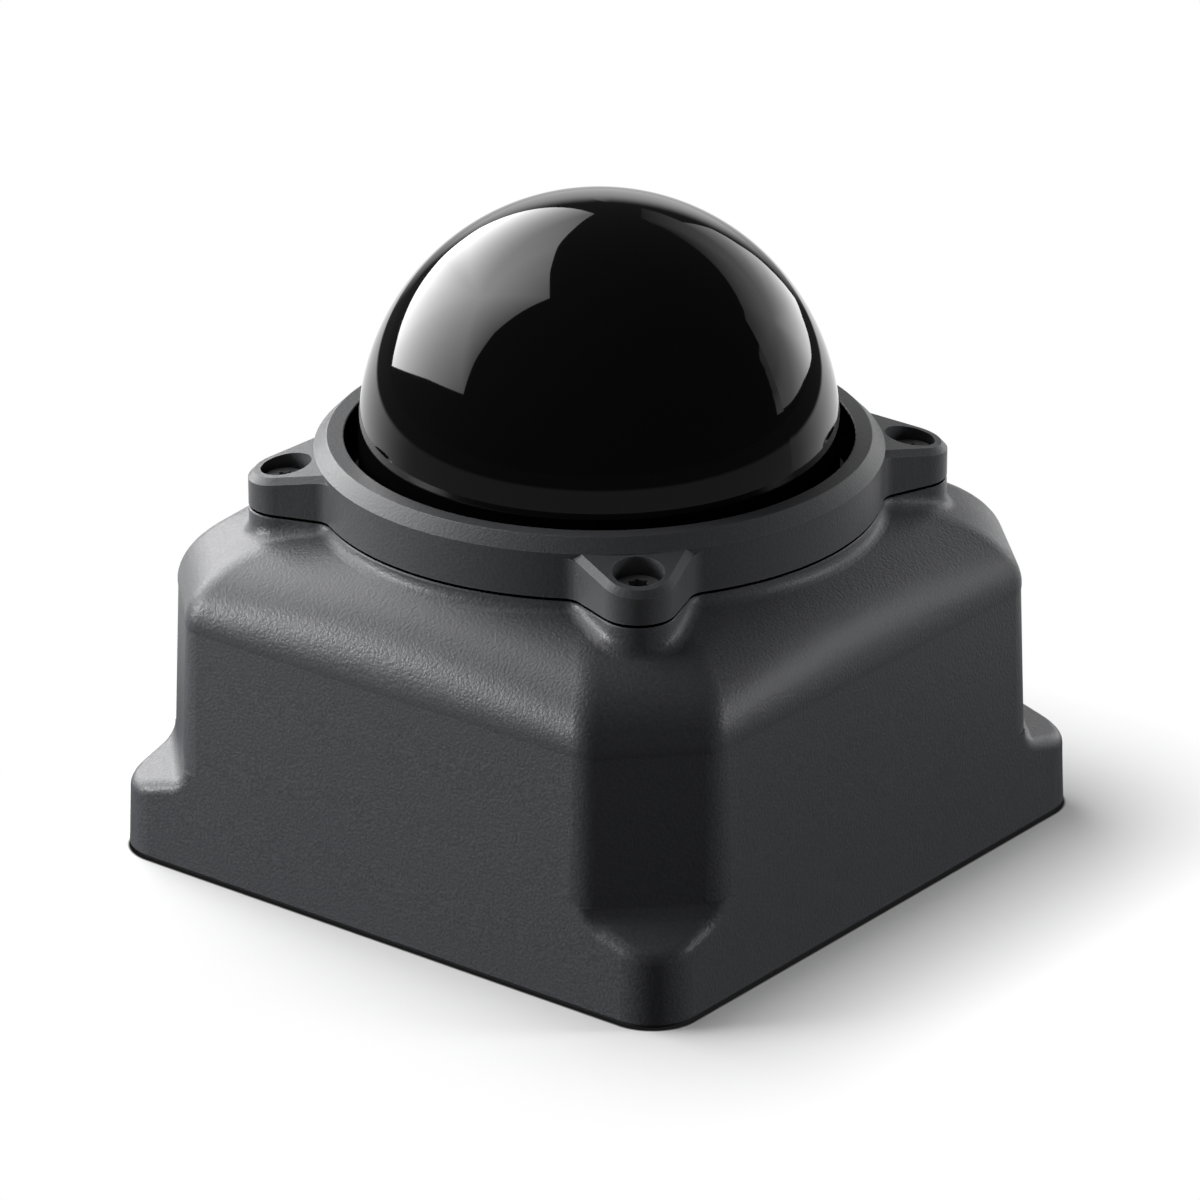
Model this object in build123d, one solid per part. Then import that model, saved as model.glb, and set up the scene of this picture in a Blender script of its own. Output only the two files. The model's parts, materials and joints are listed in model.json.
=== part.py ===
from build123d import *
import os
from math import atan2, cos, degrees, hypot, radians, sin, sqrt, tan

# Compact dome lidar: a square cast housing, a clamp ring with four lugs over a dark
# infrared dome, and inside it a head that turns about Z and carries a turning mirror.
# Millimetres, +Z up, origin at the middle of the underside. The receptacle is on the
# +Y wall. A radius ends in _r, a wall or plate thickness in _t, a height above the
# underside in _z.

# Dome: the ring, the neck, the lugs and the square foot are sized out from its radius
dome_r = 22.1
dome_t = 1.5
dome_rise = 0.4             # ring top up to the dome's centre
flange_lip = 2.5            # flange radius beyond the dome
flange_t = 2.0
gasket_t = 1.0
gasket_side_gap = 0.2

# Housing
shoulder_reach = 6.3        # neck to the middle of a side
foot_corner_r = 4.7
side_draft = 2.2
facet_depth = 6.4           # square's sharp corner in to the cut corner, at the underside
facet_corner_r = 3.9
foot_z = 8.9                # where the cut corner ends on the foot
foot_slope = 22.0
foot_edge_r = 1.4
facet_foot_r = 1.5
foot_lap = 0.05             # foot block's top over the hollow curve
side_top_z = 24.0
shoulder_start = 1.5        # side top up to where the shoulder begins to turn
shoulder_h = 8.1
shoulder_lap = 2.0          # how far the shoulder runs in under the neck
shoulder_shape = [(0, 0), (0.35, 0.11), (0.68, 0.42), (0.88, 0.76), (1, 1)]
pedestal_start = 0.3        # share of the shoulder's height where the lug pedestals begin
wall_t = 2.6
neck_roof_t = 4.2           # metal between the cavity and the neck's top
bore_inset = 0.9            # dome radius to the neck's bore
pedestal_foot_r = 1.4
bottom_edge = 0.5
boss_margin = 0.2
boss_roof = 0.6             # boss top below the neck's top

# Clamp ring and its lugs
ring_h = 5.8
ring_rim_gap = 1.3          # round the dome
ring_bevel = 1.2
ring_wall_t = 1.6           # outside the flange
rim_edge = 0.15
seam_groove_h = 0.3         # fine groove all round the joint with the housing
seam_groove_in = 0.3
neck_seam_edge = 0.12
lug_reach = 2.6             # neck to the lug's screw
lug_nose_r = 3.5
lug_root_half = 5.9
lug_root_in = 1.7           # how far inside the ring's wall the root width is measured
lug_root_t = 0.1
lug_blend_r = 2.0
lug_slope = 11.0
lug_drop = 1.3              # ring top to the lug's top face, at the ring's wall
lug_edge_in = 0.65
lug_edge_down = 0.5
head_sink = 1.15            # lug's top face to the screw head, at the hole

# Screws: shank radius, head radius, head height
lug_screw = (1.25, 2.15, 1.4)
frame_screw = (1.25, 2.2, 1.5)
base_screw = (1.25, 2.3, 1.4)
board_screw = (0.9, 1.6, 1.1)
optics_screw = (0.7, 1.2, 0.8)
fork_screw = (0.7, 1.2, 0.8)
recess_depth = 0.8
recess_part = 0.47          # six-lobe recess radius over head radius
lobe_part = 0.22            # lobe radius over recess radius
head_edge_part = 0.15       # edge break over head height
hole_gap = 0.15             # radial, round a shank that passes through
head_gap = 0.2              # radial, round a sunk head
thread_depth = 5.0
thread_end_gap = 0.5        # screw tip to the end of its thread

# Base plate
plate_t = 3.0
plate_gap = 0.1
rim_t = 1.6                 # housing wall left round the base plate
base_screw_in = 4.3         # cut corner in to the screw
base_boss_r = 3.3
base_boss_z = 11.0
mount_inset = 12.5          # side of the foot in to the mounting thread
mount_thread_r = 1.5
mount_thread_depth = 4.5
mount_boss_r = 3.2
mount_boss_z = 6.0
seal_t = 1.2
seal_inset = 1.4
seal_squeeze = 0.1
island_side = 13.0

# Boards
board_z = 6.6
board_t = 1.6
board_inset = 8.0           # side of the foot in to the board's edge
board_cut = 10.5
post_in = 3.0               # board's edge in to its screw posts
post_y = 8.0
post_r = 2.2
post_thread_depth = 5.1
processor_side = 12.0
processor_t = 1.8
processor_corner = 0.3
pad_t = 0.8
# x and y as shares of the board's half side, then width, depth and height
chip_sizes = [(-0.65, 0.16, 6, 8, 1.2), (-0.61, -0.37, 5, 5, 1.0), (0.61, -0.33, 4, 6, 1.4),
              (0.65, 0.2, 5, 4, 1.2), (0.16, -0.86, 7, 5, 2.0), (-0.25, -0.86, 4, 4, 1.0),
              (-0.57, 0.69, 4, 4, 1.2)]
link_size = (10.0, 3.6)
link_y = -12.5
optics_z = 10.6
optics_t = 1.2
optics_tip_gap = 0.2        # optics screw tip to the frame's top

# Scanner frame
frame_bottom_z = 14.0
arm_t = 2.5
arm_width = 6.0
ear_r = 3.4
skirt_r = 16.0
skirt_t = 3.6
optics_screw_circle_r = 14.2
tube_t = 1.3
step_r = 11.2
lip_t = 0.7

# Bearings: 12 x 18 x 4
shaft_part = 0.2715         # bore and outer radius over the dome's radius
bearing_part = 0.4072
bearing_t = 4.0
bearing_lift = 0.8          # coupling's moving half up to the lower bearing
race_t = 0.85
ball_r = 0.8
ball_count = 14
ball_gap = 0.05

# Motor of the turning head
core_z = 18.5
core_t = 6.0
core_back_t = 1.6
tooth_count = 9
tooth_width = 2.4
tooth_tip_t = 1.0
tooth_lap = 0.2             # tooth into the crown and into the back
slot_mouth = 1.2
coil_t = 1.1
coil_inset = 0.15
coil_edge_part = 0.6        # corner radius over coil thickness
air_gap = 0.4
magnet_t = 1.6
magnet_count = 12
magnet_gap = 0.3
magnet_h = 7.0
bell_t = 1.2
bell_edge_part = 0.6        # corner radius over wall thickness
bell_drop = 12.2
run_gap = 0.5

# Shaft, contactless coupling, encoder
shaft_t = 1.2
hub_flange_r = 9.0
hub_flange_t = 1.5
coupler_r = 11.6
coupler_t = 1.4
coupler_fixed_in_r = 7.6
coupler_gap = 0.5
encoder_z = 20.0
encoder_t = 0.8
encoder_track = 1.6
encoder_grip = 1.0
sensor_width = 5.0
sensor_bridge = 1.9         # disk's rim out to the sensor's back
sensor_gap = 0.6
sensor_clear = 0.3          # sensor's mouth to the disk's hub
sensor_rise = 3.0

# Lens barrel
barrel_gap = 0.5
barrel_t = 0.6
barrel_foot_r = 6.8
barrel_foot_t = 1.0
barrel_drop = 0.8           # fork base's top down to the barrel's
lens_t = 1.6
lens_bulge = 0.5
lens_sink = 1.0
lens_lip_t = 0.6
can_r = 1.5
can_h = 2.6
can_edge = 0.2
can_gap = 0.2               # each can's side to the axis

# Mirror fork and mirror
fork_base_r = 13.0
fork_base_t = 1.5
fork_arm_in = 7.6
fork_arm_t = 2.0
fork_arm_width = 10.6
fork_screw_circle_r = 7.6
fork_tip_gap = 0.2
axle_r = 1.0
axle_tail = 0.5
bush_t = 0.7
bush_flange_t = 0.5
bush_flange_r = 2.4
mirror_half_len = 5.6
mirror_half_width = 6.4
mirror_t = 2.4
mirror_corner = 0.8
mirror_hub_t = 0.5          # hub radius beyond half the mirror's thickness
mirror_clear = 0.87         # swinging mirror to the fork's base
mirror_rest = 45.0
axle_gap = 0.04
mirror_magnet_r = 2.9
mirror_magnet_t = 2.0
mirror_magnet_gap = 0.3
mirror_coil_t = 1.0
mirror_core_t = 1.0
mirror_core_lip = 0.6
mirror_air_gap = 0.35
weight_size = (3.0, 6.0, 4.2)

# Receptacle on the back wall
plug_z = 13.0
plug_thread_r = 6.0
plug_thread_h = 8.5
plug_socket_r = 4.4
plug_socket_depth = 7.5
plug_mouth_edge = 0.3
plug_hex = 14.0
plug_hex_t = 2.6
plug_stub_r = 5.6
spot_r = 8.8
spot_depth = 1.2            # square's side in to the receptacle's seat
seat_t = 3.1                # wall between the seat and the nut
nut_hex = 13.6
nut_t = 2.6
stub_tail = 0.6
ring_seal_r = 0.6
seal_corner_part = 0.6      # corner radius over the section's radius
insert_back = 2.0
key_size = (1.2, 0.7)
pin_r = 0.4
pin_tip_part = 0.8          # tip radius over pin radius
pin_circle_r = 2.75
pin_count = 7
pin_recess = 1.3
pin_tail = 2.0
plug_board_t = 1.2
plug_board_half = 9.0
plug_board_top = 2.0        # board above the socket
header_size = (14.0, 3.0, 1.4)

# Shared places worked out from the sizes above
flange_r = dome_r + flange_lip
ring_rim_r = dome_r + ring_rim_gap
neck_bore_r = dome_r - bore_inset
neck_r = flange_r + ring_wall_t
lug_circle_r = neck_r + lug_reach
half_base = neck_r + shoulder_reach
base_side = 2 * half_base
facet_reach = half_base * sqrt(2) - facet_depth
shoulder_z = side_top_z + shoulder_start
seam_z = shoulder_z + shoulder_h
ring_top_z = seam_z + ring_h
ring_bevel_z = ring_top_z - ring_bevel
flange_z = seam_z + gasket_t
dome_center_z = ring_top_z + dome_rise
plate_half = half_base - rim_t - plate_gap
plate_corner_r = foot_corner_r - rim_t
base_screw_reach = facet_reach - base_screw_in
mount_half = half_base - mount_inset
board_half = half_base - board_inset
post_x = board_half - post_in
boss_r = ear_r + boss_margin
mirror_swing = hypot(mirror_half_len, mirror_t / 2)
fork_top_z = dome_center_z - mirror_swing - mirror_clear
hub_top_z = fork_top_z - fork_base_t
bell_top_z = hub_top_z - hub_flange_t
tube_top_z = bell_top_z - bell_t - run_gap
upper_bearing_z = tube_top_z - bearing_t
lower_bearing_z = optics_z + optics_t + 2 * coupler_t + coupler_gap + bearing_lift
shaft_r = dome_r * shaft_part
bearing_r = dome_r * bearing_part
tube_r = bearing_r + tube_t
sensor_reach = lug_circle_r - boss_r - sensor_gap
encoder_r = sensor_reach - sensor_bridge
bell_r = encoder_r - encoder_track - encoder_grip
bell_in_r = bell_r - bell_t
magnet_in_r = bell_in_r - magnet_t
core_r = magnet_in_r - air_gap
shaft_in_r = shaft_r - shaft_t
barrel_r = shaft_in_r - barrel_gap
barrel_top_z = fork_top_z - barrel_drop
frame_top_z = frame_bottom_z + arm_t
arm_out = fork_arm_in + fork_arm_t
magnet_start = arm_out + mirror_magnet_gap
spot_y = half_base - spot_depth
boss_y = spot_y - seat_t
plug_front = spot_y + plug_hex_t + plug_thread_h
stub_back = boss_y - nut_t - stub_tail
board_face = stub_back - insert_back
diagonals = [45 + 90 * turn for turn in range(4)]


def ring(outer, inner, low, high):
    # a plain ring or, with no inner radius, a disc
    band = Circle(outer) - Circle(inner) if inner else Circle(outer)
    return Pos(0, 0, low) * extrude(band, amount=high - low)


def block(width, depth, low, high):
    return Pos(0, 0, low) * extrude(Rectangle(width, depth), amount=high - low)


def rod(radius, low, high):
    return ring(radius, 0, low, high)


def spread(shape, places):
    # copies of one piece at several (x, y, angle) places
    return [Pos(x, y, 0) * Rot(0, 0, turn) * shape for x, y, turn in places]


def polar(radius, angles):
    return [(radius * cos(radians(a)), radius * sin(radians(a)), a) for a in angles]


def rectangle_places(x, y):
    return [(sx * x, sy * y, 0) for sx in (1, -1) for sy in (1, -1)]


def lean(height):
    # how far the drafted sides have come in at a height
    return height * tan(radians(side_draft))


def screw(size, seat, length, up=1):
    # a low-head screw on the Z axis with its head's underside at seat; up is the side
    # that the head is on
    shank_r, head_r, head_h = size
    head = rod(head_r, 0, head_h)
    head = chamfer(head.edges().sort_by(Axis.Z)[-1], head_h * head_edge_part)
    recess_r = head_r * recess_part
    lobe_r = recess_r * lobe_part
    lobes = Circle(recess_r - lobe_r)
    for x, y, _ in polar(recess_r - lobe_r, range(0, 360, 60)):
        lobes += Pos(x, y) * Circle(lobe_r)
    recess = Pos(0, 0, head_h - recess_depth) * extrude(lobes, amount=recess_depth)
    turned = head - recess + rod(shank_r, -length, 0)
    return Pos(0, 0, seat) * (turned if up > 0 else Rot(180, 0, 0) * turned)


def cut_square_nodes(inset, height):
    # ends of the straights of the cut square, anticlockwise from the +X side, with the
    # middle point of the stretch that starts at each
    half = half_base - lean(height) - inset
    reach = facet_reach - lean(height) - inset
    corner = facet_corner_r - lean(height) - min(inset, wall_t / 2)
    side = reach * sqrt(2) - half
    trim = corner * tan(radians(22.5))
    quarter = [
        Vector(half, side - trim),
        Vector(half - trim / sqrt(2), side + trim / sqrt(2)),
        Vector(side + trim / sqrt(2), half - trim / sqrt(2)),
        Vector(side - trim, half),
    ]
    nodes = [node.rotate(Axis.Z, 90 * turn) for turn in range(4) for node in quarter]
    bulge = corner * (1 - cos(radians(22.5)))
    middles = []
    for index, node in enumerate(nodes):
        following = nodes[(index + 1) % len(nodes)]
        middle = (node + following) / 2
        if index % 2 == 0:
            along = (following - node).normalized()
            middle += Vector(along.Y, -along.X) * bulge
        middles.append(middle)
    return nodes, middles


def shoulder_section(height, share, inset, round_r):
    # the cut square turned by a share from 0 to 1 into a circle
    nodes, middles = cut_square_nodes(inset, height)
    count = len(nodes)
    on_circle = [node.normalized() * round_r for node in nodes]
    mixed = [a * (1 - share) + b * share for a, b in zip(nodes, on_circle)]
    edges = []
    for index in range(count):
        following = (index + 1) % count
        arc_middle = (on_circle[index] + on_circle[following]).normalized() * round_r
        middle = middles[index] * (1 - share) + arc_middle * share
        if share == 0 and index % 2 == 1:
            edges.append(Line(mixed[index], mixed[following]))
        else:
            edges.append(ThreePointArc(mixed[index], middle, mixed[following]))
    return Pos(0, 0, height) * Face(Wire(edges))


def shell_form(inset, low, side_top, start, top, round_r):
    # drafted sides with cut corners, then the shoulder up to a circle
    sides = extrude(shoulder_section(low, 0, inset, round_r), amount=side_top - low, taper=side_draft)
    sections = [shoulder_section(side_top, 0, inset, round_r)]
    for rise, share in shoulder_shape:
        sections.append(shoulder_section(start + rise * (top - start), share, inset, round_r))
    return sides + loft(sections)


def foot_form():
    # the stepped foot: a rounded square block, sloped off at its four corners, with a
    # hollow curve where each slope meets the cut corner
    block_top = foot_z + facet_foot_r * tan(radians(45 - foot_slope / 2)) + foot_lap
    foot = extrude(fillet(Rectangle(base_side, base_side).vertices(), foot_corner_r),
                   amount=block_top, taper=side_draft)
    reach = facet_reach - lean(foot_z)
    outer = base_side
    section = Polygon((reach, foot_z), (outer, foot_z - (outer - reach) * tan(radians(foot_slope))),
                      (outer, block_top), (facet_reach - lean(block_top), block_top), align=None)
    hollow = section.vertices().sort_by_distance((reach, foot_z))[0]
    section = fillet(hollow, facet_foot_r)
    cutter = extrude(Plane.XZ * section, amount=base_side / 2, both=True)
    for turn in diagonals:
        foot -= Rot(0, 0, turn) * cutter
    rims = [edge for edge in foot.edges() if is_foot_rim(edge, block_top)]
    return fillet(rims, foot_edge_r)


def is_foot_rim(edge, block_top):
    # the edges between a sloped corner and the foot's outside
    box = edge.bounding_box()
    middle = edge.position_at(0.5)
    outside = hypot(middle.X, middle.Y) > facet_reach
    above = box.min.Z > foot_z - facet_depth * tan(radians(foot_slope))
    return outside and above and box.size.Z > foot_lap and box.min.Z < block_top - foot_lap


def lug_outline():
    # one lug on +X: a round nose drawn in to the wall
    root = Pos(neck_r - lug_root_in, 0) * Rectangle(lug_root_t, 2 * lug_root_half)
    nose = Pos(lug_circle_r, 0) * Circle(lug_nose_r)
    return make_hull([*nose.edges(), *root.edges()])


def clamp_outline():
    # the round wall with its four lugs, seen from above
    outline = Circle(neck_r)
    for turn in diagonals:
        outline += Rot(0, 0, turn) * lug_outline()
    inner_corners = [v for v in outline.vertices() if abs(hypot(v.X, v.Y) - neck_r) < rim_edge]
    return fillet(inner_corners, lug_blend_r)


def lug_slope_at(radius):
    # height of a lug's top face at a distance from the axis
    return ring_top_z - lug_drop - (radius - neck_r) * tan(radians(lug_slope))


def connector_cut():
    # the round seat and the hole for the receptacle, along +Y
    seat = Pos(0, spot_y, plug_z) * Rot(-90, 0, 0) * extrude(Circle(spot_r), amount=half_base)
    hole = Pos(0, 0, plug_z) * Rot(-90, 0, 0) * extrude(Circle(plug_stub_r + hole_gap), amount=half_base)
    return seat + hole


def housing():
    outer = shell_form(0, 0, side_top_z, shoulder_z, seam_z, neck_r - shoulder_lap)
    outer += foot_form()
    pedestal_z = shoulder_z + pedestal_start * shoulder_h
    outer += Pos(0, 0, pedestal_z) * extrude(clamp_outline(), amount=seam_z - pedestal_z)
    outer = chamfer(outer.faces().sort_by(Axis.Z)[-1].outer_wire().edges(), neck_seam_edge)
    outer = fillet([e for e in outer.edges() if is_pedestal_foot(e, pedestal_z)], pedestal_foot_r)
    outer = chamfer(outer.faces().sort_by(Axis.Z)[0].outer_wire().edges(), bottom_edge)
    cavity = shell_form(wall_t, plate_t, side_top_z - wall_t, shoulder_z - wall_t,
                        seam_z - neck_roof_t, neck_bore_r)
    body = outer - cavity - rod(neck_bore_r, plate_t, seam_z)
    bosses = spread(rod(boss_r, frame_top_z, seam_z - boss_roof), polar(lug_circle_r, diagonals))
    bosses += spread(rod(base_boss_r, plate_t, base_boss_z), polar(base_screw_reach, diagonals))
    bosses.append(along_y(spot_r, boss_y, seat_t + spot_depth))
    body += outer & (bosses[0] + bosses[1:])
    holes = spread(rod(lug_screw[0], seam_z - thread_depth, seam_z), polar(lug_circle_r, diagonals))
    holes += spread(rod(frame_screw[0], frame_top_z, frame_top_z + thread_depth),
                    polar(lug_circle_r, diagonals))
    holes += spread(rod(base_screw[0], plate_t, plate_t + thread_depth), polar(base_screw_reach, diagonals))
    holes.append(rod(neck_bore_r, plate_t, seam_z))
    holes.append(extrude(plate_outline(plate_half + plate_gap), amount=plate_t))
    return body - holes - connector_cut()


def is_pedestal_foot(edge, low):
    # where the neck and the lug pedestals run out into the shoulder
    middle = edge.center()
    across = hypot(middle.X, middle.Y)
    on_neck = neck_r - 0.1 < across < lug_circle_r + lug_nose_r + 1
    return edge.geom_type == GeomType.BSPLINE and on_neck and low < middle.Z < seam_z - 0.05


def bezel_ring():
    outline = clamp_outline()
    groove_z = seam_z + seam_groove_h
    wall = Pos(0, 0, seam_z) * extrude(offset(outline, -seam_groove_in), amount=ring_top_z - seam_z)
    wall += Pos(0, 0, groove_z) * extrude(outline, amount=ring_top_z - groove_z)
    wall -= above_lugs() - rod(neck_r, 0, base_side)
    for turn in diagonals:
        wall += Rot(0, 0, turn) * lug_top()
    wall -= above_ring()
    wall -= rod(ring_rim_r, seam_z, ring_top_z)
    wall -= rod(flange_r + plate_gap, seam_z, flange_z + flange_t)
    rim = [e for e in wall.edges().filter_by(GeomType.CIRCLE)
           if abs(e.center().Z - ring_top_z) < rim_edge and e.radius < neck_r]
    wall = fillet(rim, rim_edge)
    seat = lug_screw_seat()
    hole = rod(lug_screw[1] + head_gap, seat, ring_top_z) + rod(lug_screw[0] + hole_gap, seam_z, seat)
    for place in spread(hole, polar(lug_circle_r, diagonals)):
        wall -= place
    return wall


def lug_screw_seat():
    return lug_slope_at(lug_circle_r) - head_sink - lug_screw[2]


def above_lugs():
    # all that lies over the lugs' sloping faces, down to the foot of their bevel
    near = lug_slope_at(0) - lug_edge_down
    far = lug_slope_at(base_side) - lug_edge_down
    wedge = Polygon((0, near), (base_side, far), (base_side, base_side), (0, base_side), align=None)
    prism = extrude(Plane.XZ * wedge, amount=lug_nose_r * 3, both=True)
    cut = Rot(0, 0, diagonals[0]) * prism
    for turn in diagonals[1:]:
        cut += Rot(0, 0, turn) * prism
    return cut


def lug_top():
    # the bevelled cap of the lug on +X, in line with the lug's own outline
    near = lug_slope_at(0) - lug_edge_down
    far = lug_slope_at(base_side) - lug_edge_down
    under = Polygon((0, 0), (base_side, 0), (base_side, far), (0, near), align=None)
    lug = extrude(lug_outline(), amount=base_side) & extrude(Plane.XZ * under, amount=base_side, both=True)
    rise = lug_edge_down * cos(radians(lug_slope))
    return extrude(lug.faces().sort_by(Axis.Z)[-1], amount=rise, taper=degrees(atan2(lug_edge_in, rise)))


def above_ring():
    # everything over the round wall's top and its bevel
    far = neck_r + base_side
    section = Polygon((neck_r, ring_bevel_z), (far, ring_bevel_z), (far, base_side), (0, base_side),
                      (0, ring_top_z), (neck_r - ring_bevel, ring_top_z), align=None)
    return revolve(Plane.XZ * section, axis=Axis.Z)


def dome():
    # a hemisphere on a short skirt, with a flat flange at its foot
    inner_r = dome_r - dome_t
    with BuildPart() as shell:
        with BuildSketch(Plane.XZ):
            with BuildLine():
                Polyline((inner_r, dome_center_z), (inner_r, flange_z), (flange_r, flange_z),
                         (flange_r, flange_z + flange_t), (dome_r, flange_z + flange_t),
                         (dome_r, dome_center_z))
                ThreePointArc((dome_r, dome_center_z),
                              (dome_r * cos(radians(45)), dome_center_z + dome_r * sin(radians(45))),
                              (0, dome_center_z + dome_r))
                Line((0, dome_center_z + dome_r), (0, dome_center_z + inner_r))
                ThreePointArc((0, dome_center_z + inner_r),
                              (inner_r * cos(radians(45)), dome_center_z + inner_r * sin(radians(45))),
                              (inner_r, dome_center_z))
            make_face()
        revolve(axis=Axis.Z)
    return shell.part


def dome_gasket():
    return ring(flange_r, neck_bore_r + gasket_side_gap, seam_z, flange_z)


def plate_outline(half):
    return fillet(Rectangle(2 * half, 2 * half).vertices(), plate_corner_r)


def base_plate():
    plate = extrude(plate_outline(plate_half), amount=plate_t)
    # the seal lies in a rebate round the inner face
    rebate = plate_outline(plate_half) - plate_outline(plate_half - seal_inset)
    plate -= Pos(0, 0, plate_t - seal_t) * extrude(rebate, amount=seal_t)
    plate += block(island_side, island_side, plate_t, board_z - processor_t - pad_t)
    for x, y, _ in rectangle_places(mount_half, mount_half):
        plate += Pos(x, y, 0) * rod(mount_boss_r, 0, mount_boss_z)
        plate -= Pos(x, y, 0) * rod(mount_thread_r, 0, mount_thread_depth)
    for x, y, _ in rectangle_places(post_x, post_y):
        plate += Pos(x, y, 0) * rod(post_r, plate_t, board_z)
        plate -= Pos(x, y, 0) * rod(board_screw[0], board_z - post_thread_depth, board_z)
    sink = base_screw[2] + bottom_edge
    for x, y, _ in polar(base_screw_reach, diagonals):
        plate -= Pos(x, y, 0) * (rod(base_screw[1] + head_gap, 0, sink)
                                 + rod(base_screw[0] + hole_gap, 0, plate_t))
    return plate


def base_seal():
    band = plate_outline(plate_half) - plate_outline(plate_half - seal_inset)
    return Pos(0, 0, plate_t - seal_t) * extrude(band, amount=seal_t)


def hexagon_along_y(width, start, length):
    shape = RegularPolygon(width / 2, 6, major_radius=False)
    return Pos(0, start, plug_z) * Rot(-90, 0, 0) * extrude(shape, amount=length)


def along_y(radius, start, length, x=0, z=0):
    return Pos(x, start, plug_z + z) * Rot(-90, 0, 0) * extrude(Circle(radius), amount=length)


def connector_shell():
    shell = hexagon_along_y(plug_hex, spot_y, plug_hex_t)
    shell += along_y(plug_thread_r, spot_y, plug_front - spot_y)
    shell += along_y(plug_stub_r, stub_back, spot_y - stub_back)
    shell -= along_y(plug_socket_r, stub_back, plug_front - stub_back)
    groove = along_y(plug_stub_r + 2 * ring_seal_r, spot_y, 2 * ring_seal_r - seal_squeeze)
    groove -= along_y(plug_stub_r, spot_y, 2 * ring_seal_r)
    mouth = shell.edges().filter_by(GeomType.CIRCLE).sort_by(Axis.Y)[-2:]
    return chamfer(mouth, plug_mouth_edge) - groove


def connector_seal():
    width = 2 * ring_seal_r
    height = width - seal_squeeze
    section = Pos(plug_stub_r + ring_seal_r, height / 2) * Rectangle(width, height)
    section = fillet(section.vertices(), ring_seal_r * seal_corner_part)
    return Pos(0, spot_y, plug_z) * revolve(Plane.XY * section, axis=Axis.Y)


def connector_nut():
    return hexagon_along_y(nut_hex, boss_y - nut_t, nut_t) - along_y(plug_stub_r, boss_y - nut_t, nut_t)


def pin_places():
    return [(0, 0)] + [(pin_circle_r * cos(radians(360 * n / pin_count)),
                        pin_circle_r * sin(radians(360 * n / pin_count))) for n in range(pin_count)]


def connector_insert():
    face_y = plug_front - plug_socket_depth
    insert = along_y(plug_socket_r, board_face, face_y - board_face)
    key_width, key_height = key_size
    key = Pos(0, face_y, plug_z + plug_socket_r - key_height / 2) * Box(
        key_width, plug_socket_depth - pin_recess, key_height, align=(Align.CENTER, Align.MIN, Align.CENTER))
    insert += key & along_y(plug_socket_r, face_y, plug_socket_depth)
    for x, z in pin_places():
        insert -= along_y(pin_r, board_face, face_y - board_face, x, z)
    return insert


def connector_pins():
    start = board_face - pin_tail
    length = plug_front - pin_recess - start
    pins = []
    for x, z in pin_places():
        pin = along_y(pin_r, start, length, x, z)
        pins.append(fillet(pin.edges().sort_by(Axis.Y)[-1], pin_r * pin_tip_part))
    return Compound(pins)


def connector_board():
    low = board_z + board_t
    top = plug_z + plug_socket_r + plug_board_top
    board = Pos(0, board_face - plug_board_t / 2, (low + top) / 2) * Box(
        2 * plug_board_half, plug_board_t, top - low)
    for x, z in pin_places():
        board -= along_y(pin_r, board_face - plug_board_t, plug_board_t, x, z)
    return board


def board_header():
    width, depth, height = header_size
    low = board_z + board_t
    return Pos(0, board_face - plug_board_t - depth / 2, low + height / 2) * Box(width, depth, height)


def main_board():
    edge = board_half
    cut = board_cut
    corners = [(edge, edge - cut), (edge - cut, edge), (cut - edge, edge), (-edge, edge - cut),
               (-edge, cut - edge), (cut - edge, -edge), (edge - cut, -edge), (edge, cut - edge)]
    board = Pos(0, 0, board_z) * extrude(Polygon(*corners, align=None), amount=board_t)
    for x, y, _ in rectangle_places(post_x, post_y):
        board -= Pos(x, y, 0) * rod(board_screw[0] + hole_gap, board_z, board_z + board_t)
    return board


def board_chips():
    # memory, driver and power parts on the upper face
    low = board_z + board_t
    return Compound([Pos(x * board_half, y * board_half, 0) * block(width, depth, low, low + height)
                     for x, y, width, depth, height in chip_sizes])


def processor():
    body = block(processor_side, processor_side, board_z - processor_t, board_z)
    return chamfer(body.edges().filter_by(Axis.Z), processor_corner)


def thermal_pad():
    top = board_z - processor_t
    return block(processor_side, processor_side, top - pad_t, top)


def board_link():
    width, depth = link_size
    return Pos(0, link_y, 0) * block(width, depth, board_z + board_t, optics_z)


def optics_places():
    return polar(optics_screw_circle_r, (90, 210, 330))


def optics_board():
    board = rod(skirt_r, optics_z, optics_z + optics_t)
    for x, y, _ in optics_places():
        board -= Pos(x, y, 0) * rod(optics_screw[0] + hole_gap, optics_z, optics_z + optics_t)
    return board


def optics_cans():
    # laser diode and avalanche photodiode, side by side under the lens
    low = optics_z + optics_t
    can = rod(can_r, low, low + can_h)
    can = chamfer(can.edges().sort_by(Axis.Z)[-1], can_edge)
    return Pos(can_r + can_gap, 0, 0) * can, Pos(-can_r - can_gap, 0, 0) * can


def lens_barrel():
    low = optics_z + optics_t
    barrel = rod(barrel_foot_r, low, low + barrel_foot_t) + rod(barrel_r, low, barrel_top_z)
    barrel -= rod(barrel_r - barrel_t, low, barrel_top_z)
    seat = barrel_top_z - lens_t - lens_sink
    return barrel + ring(barrel_r - barrel_t, barrel_r - 2 * barrel_t, seat - lens_lip_t, seat)


def collimator_lens():
    # flat below, domed above
    radius = barrel_r - barrel_t
    top = barrel_top_z - lens_sink
    dome_radius = (radius ** 2 + lens_bulge ** 2) / (2 * lens_bulge)
    return rod(radius, top - lens_t, top) & Pos(0, 0, top - dome_radius) * Sphere(dome_radius)


def coupler_fixed():
    low = optics_z + optics_t
    return ring(coupler_r, coupler_fixed_in_r, low, low + coupler_t)


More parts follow.
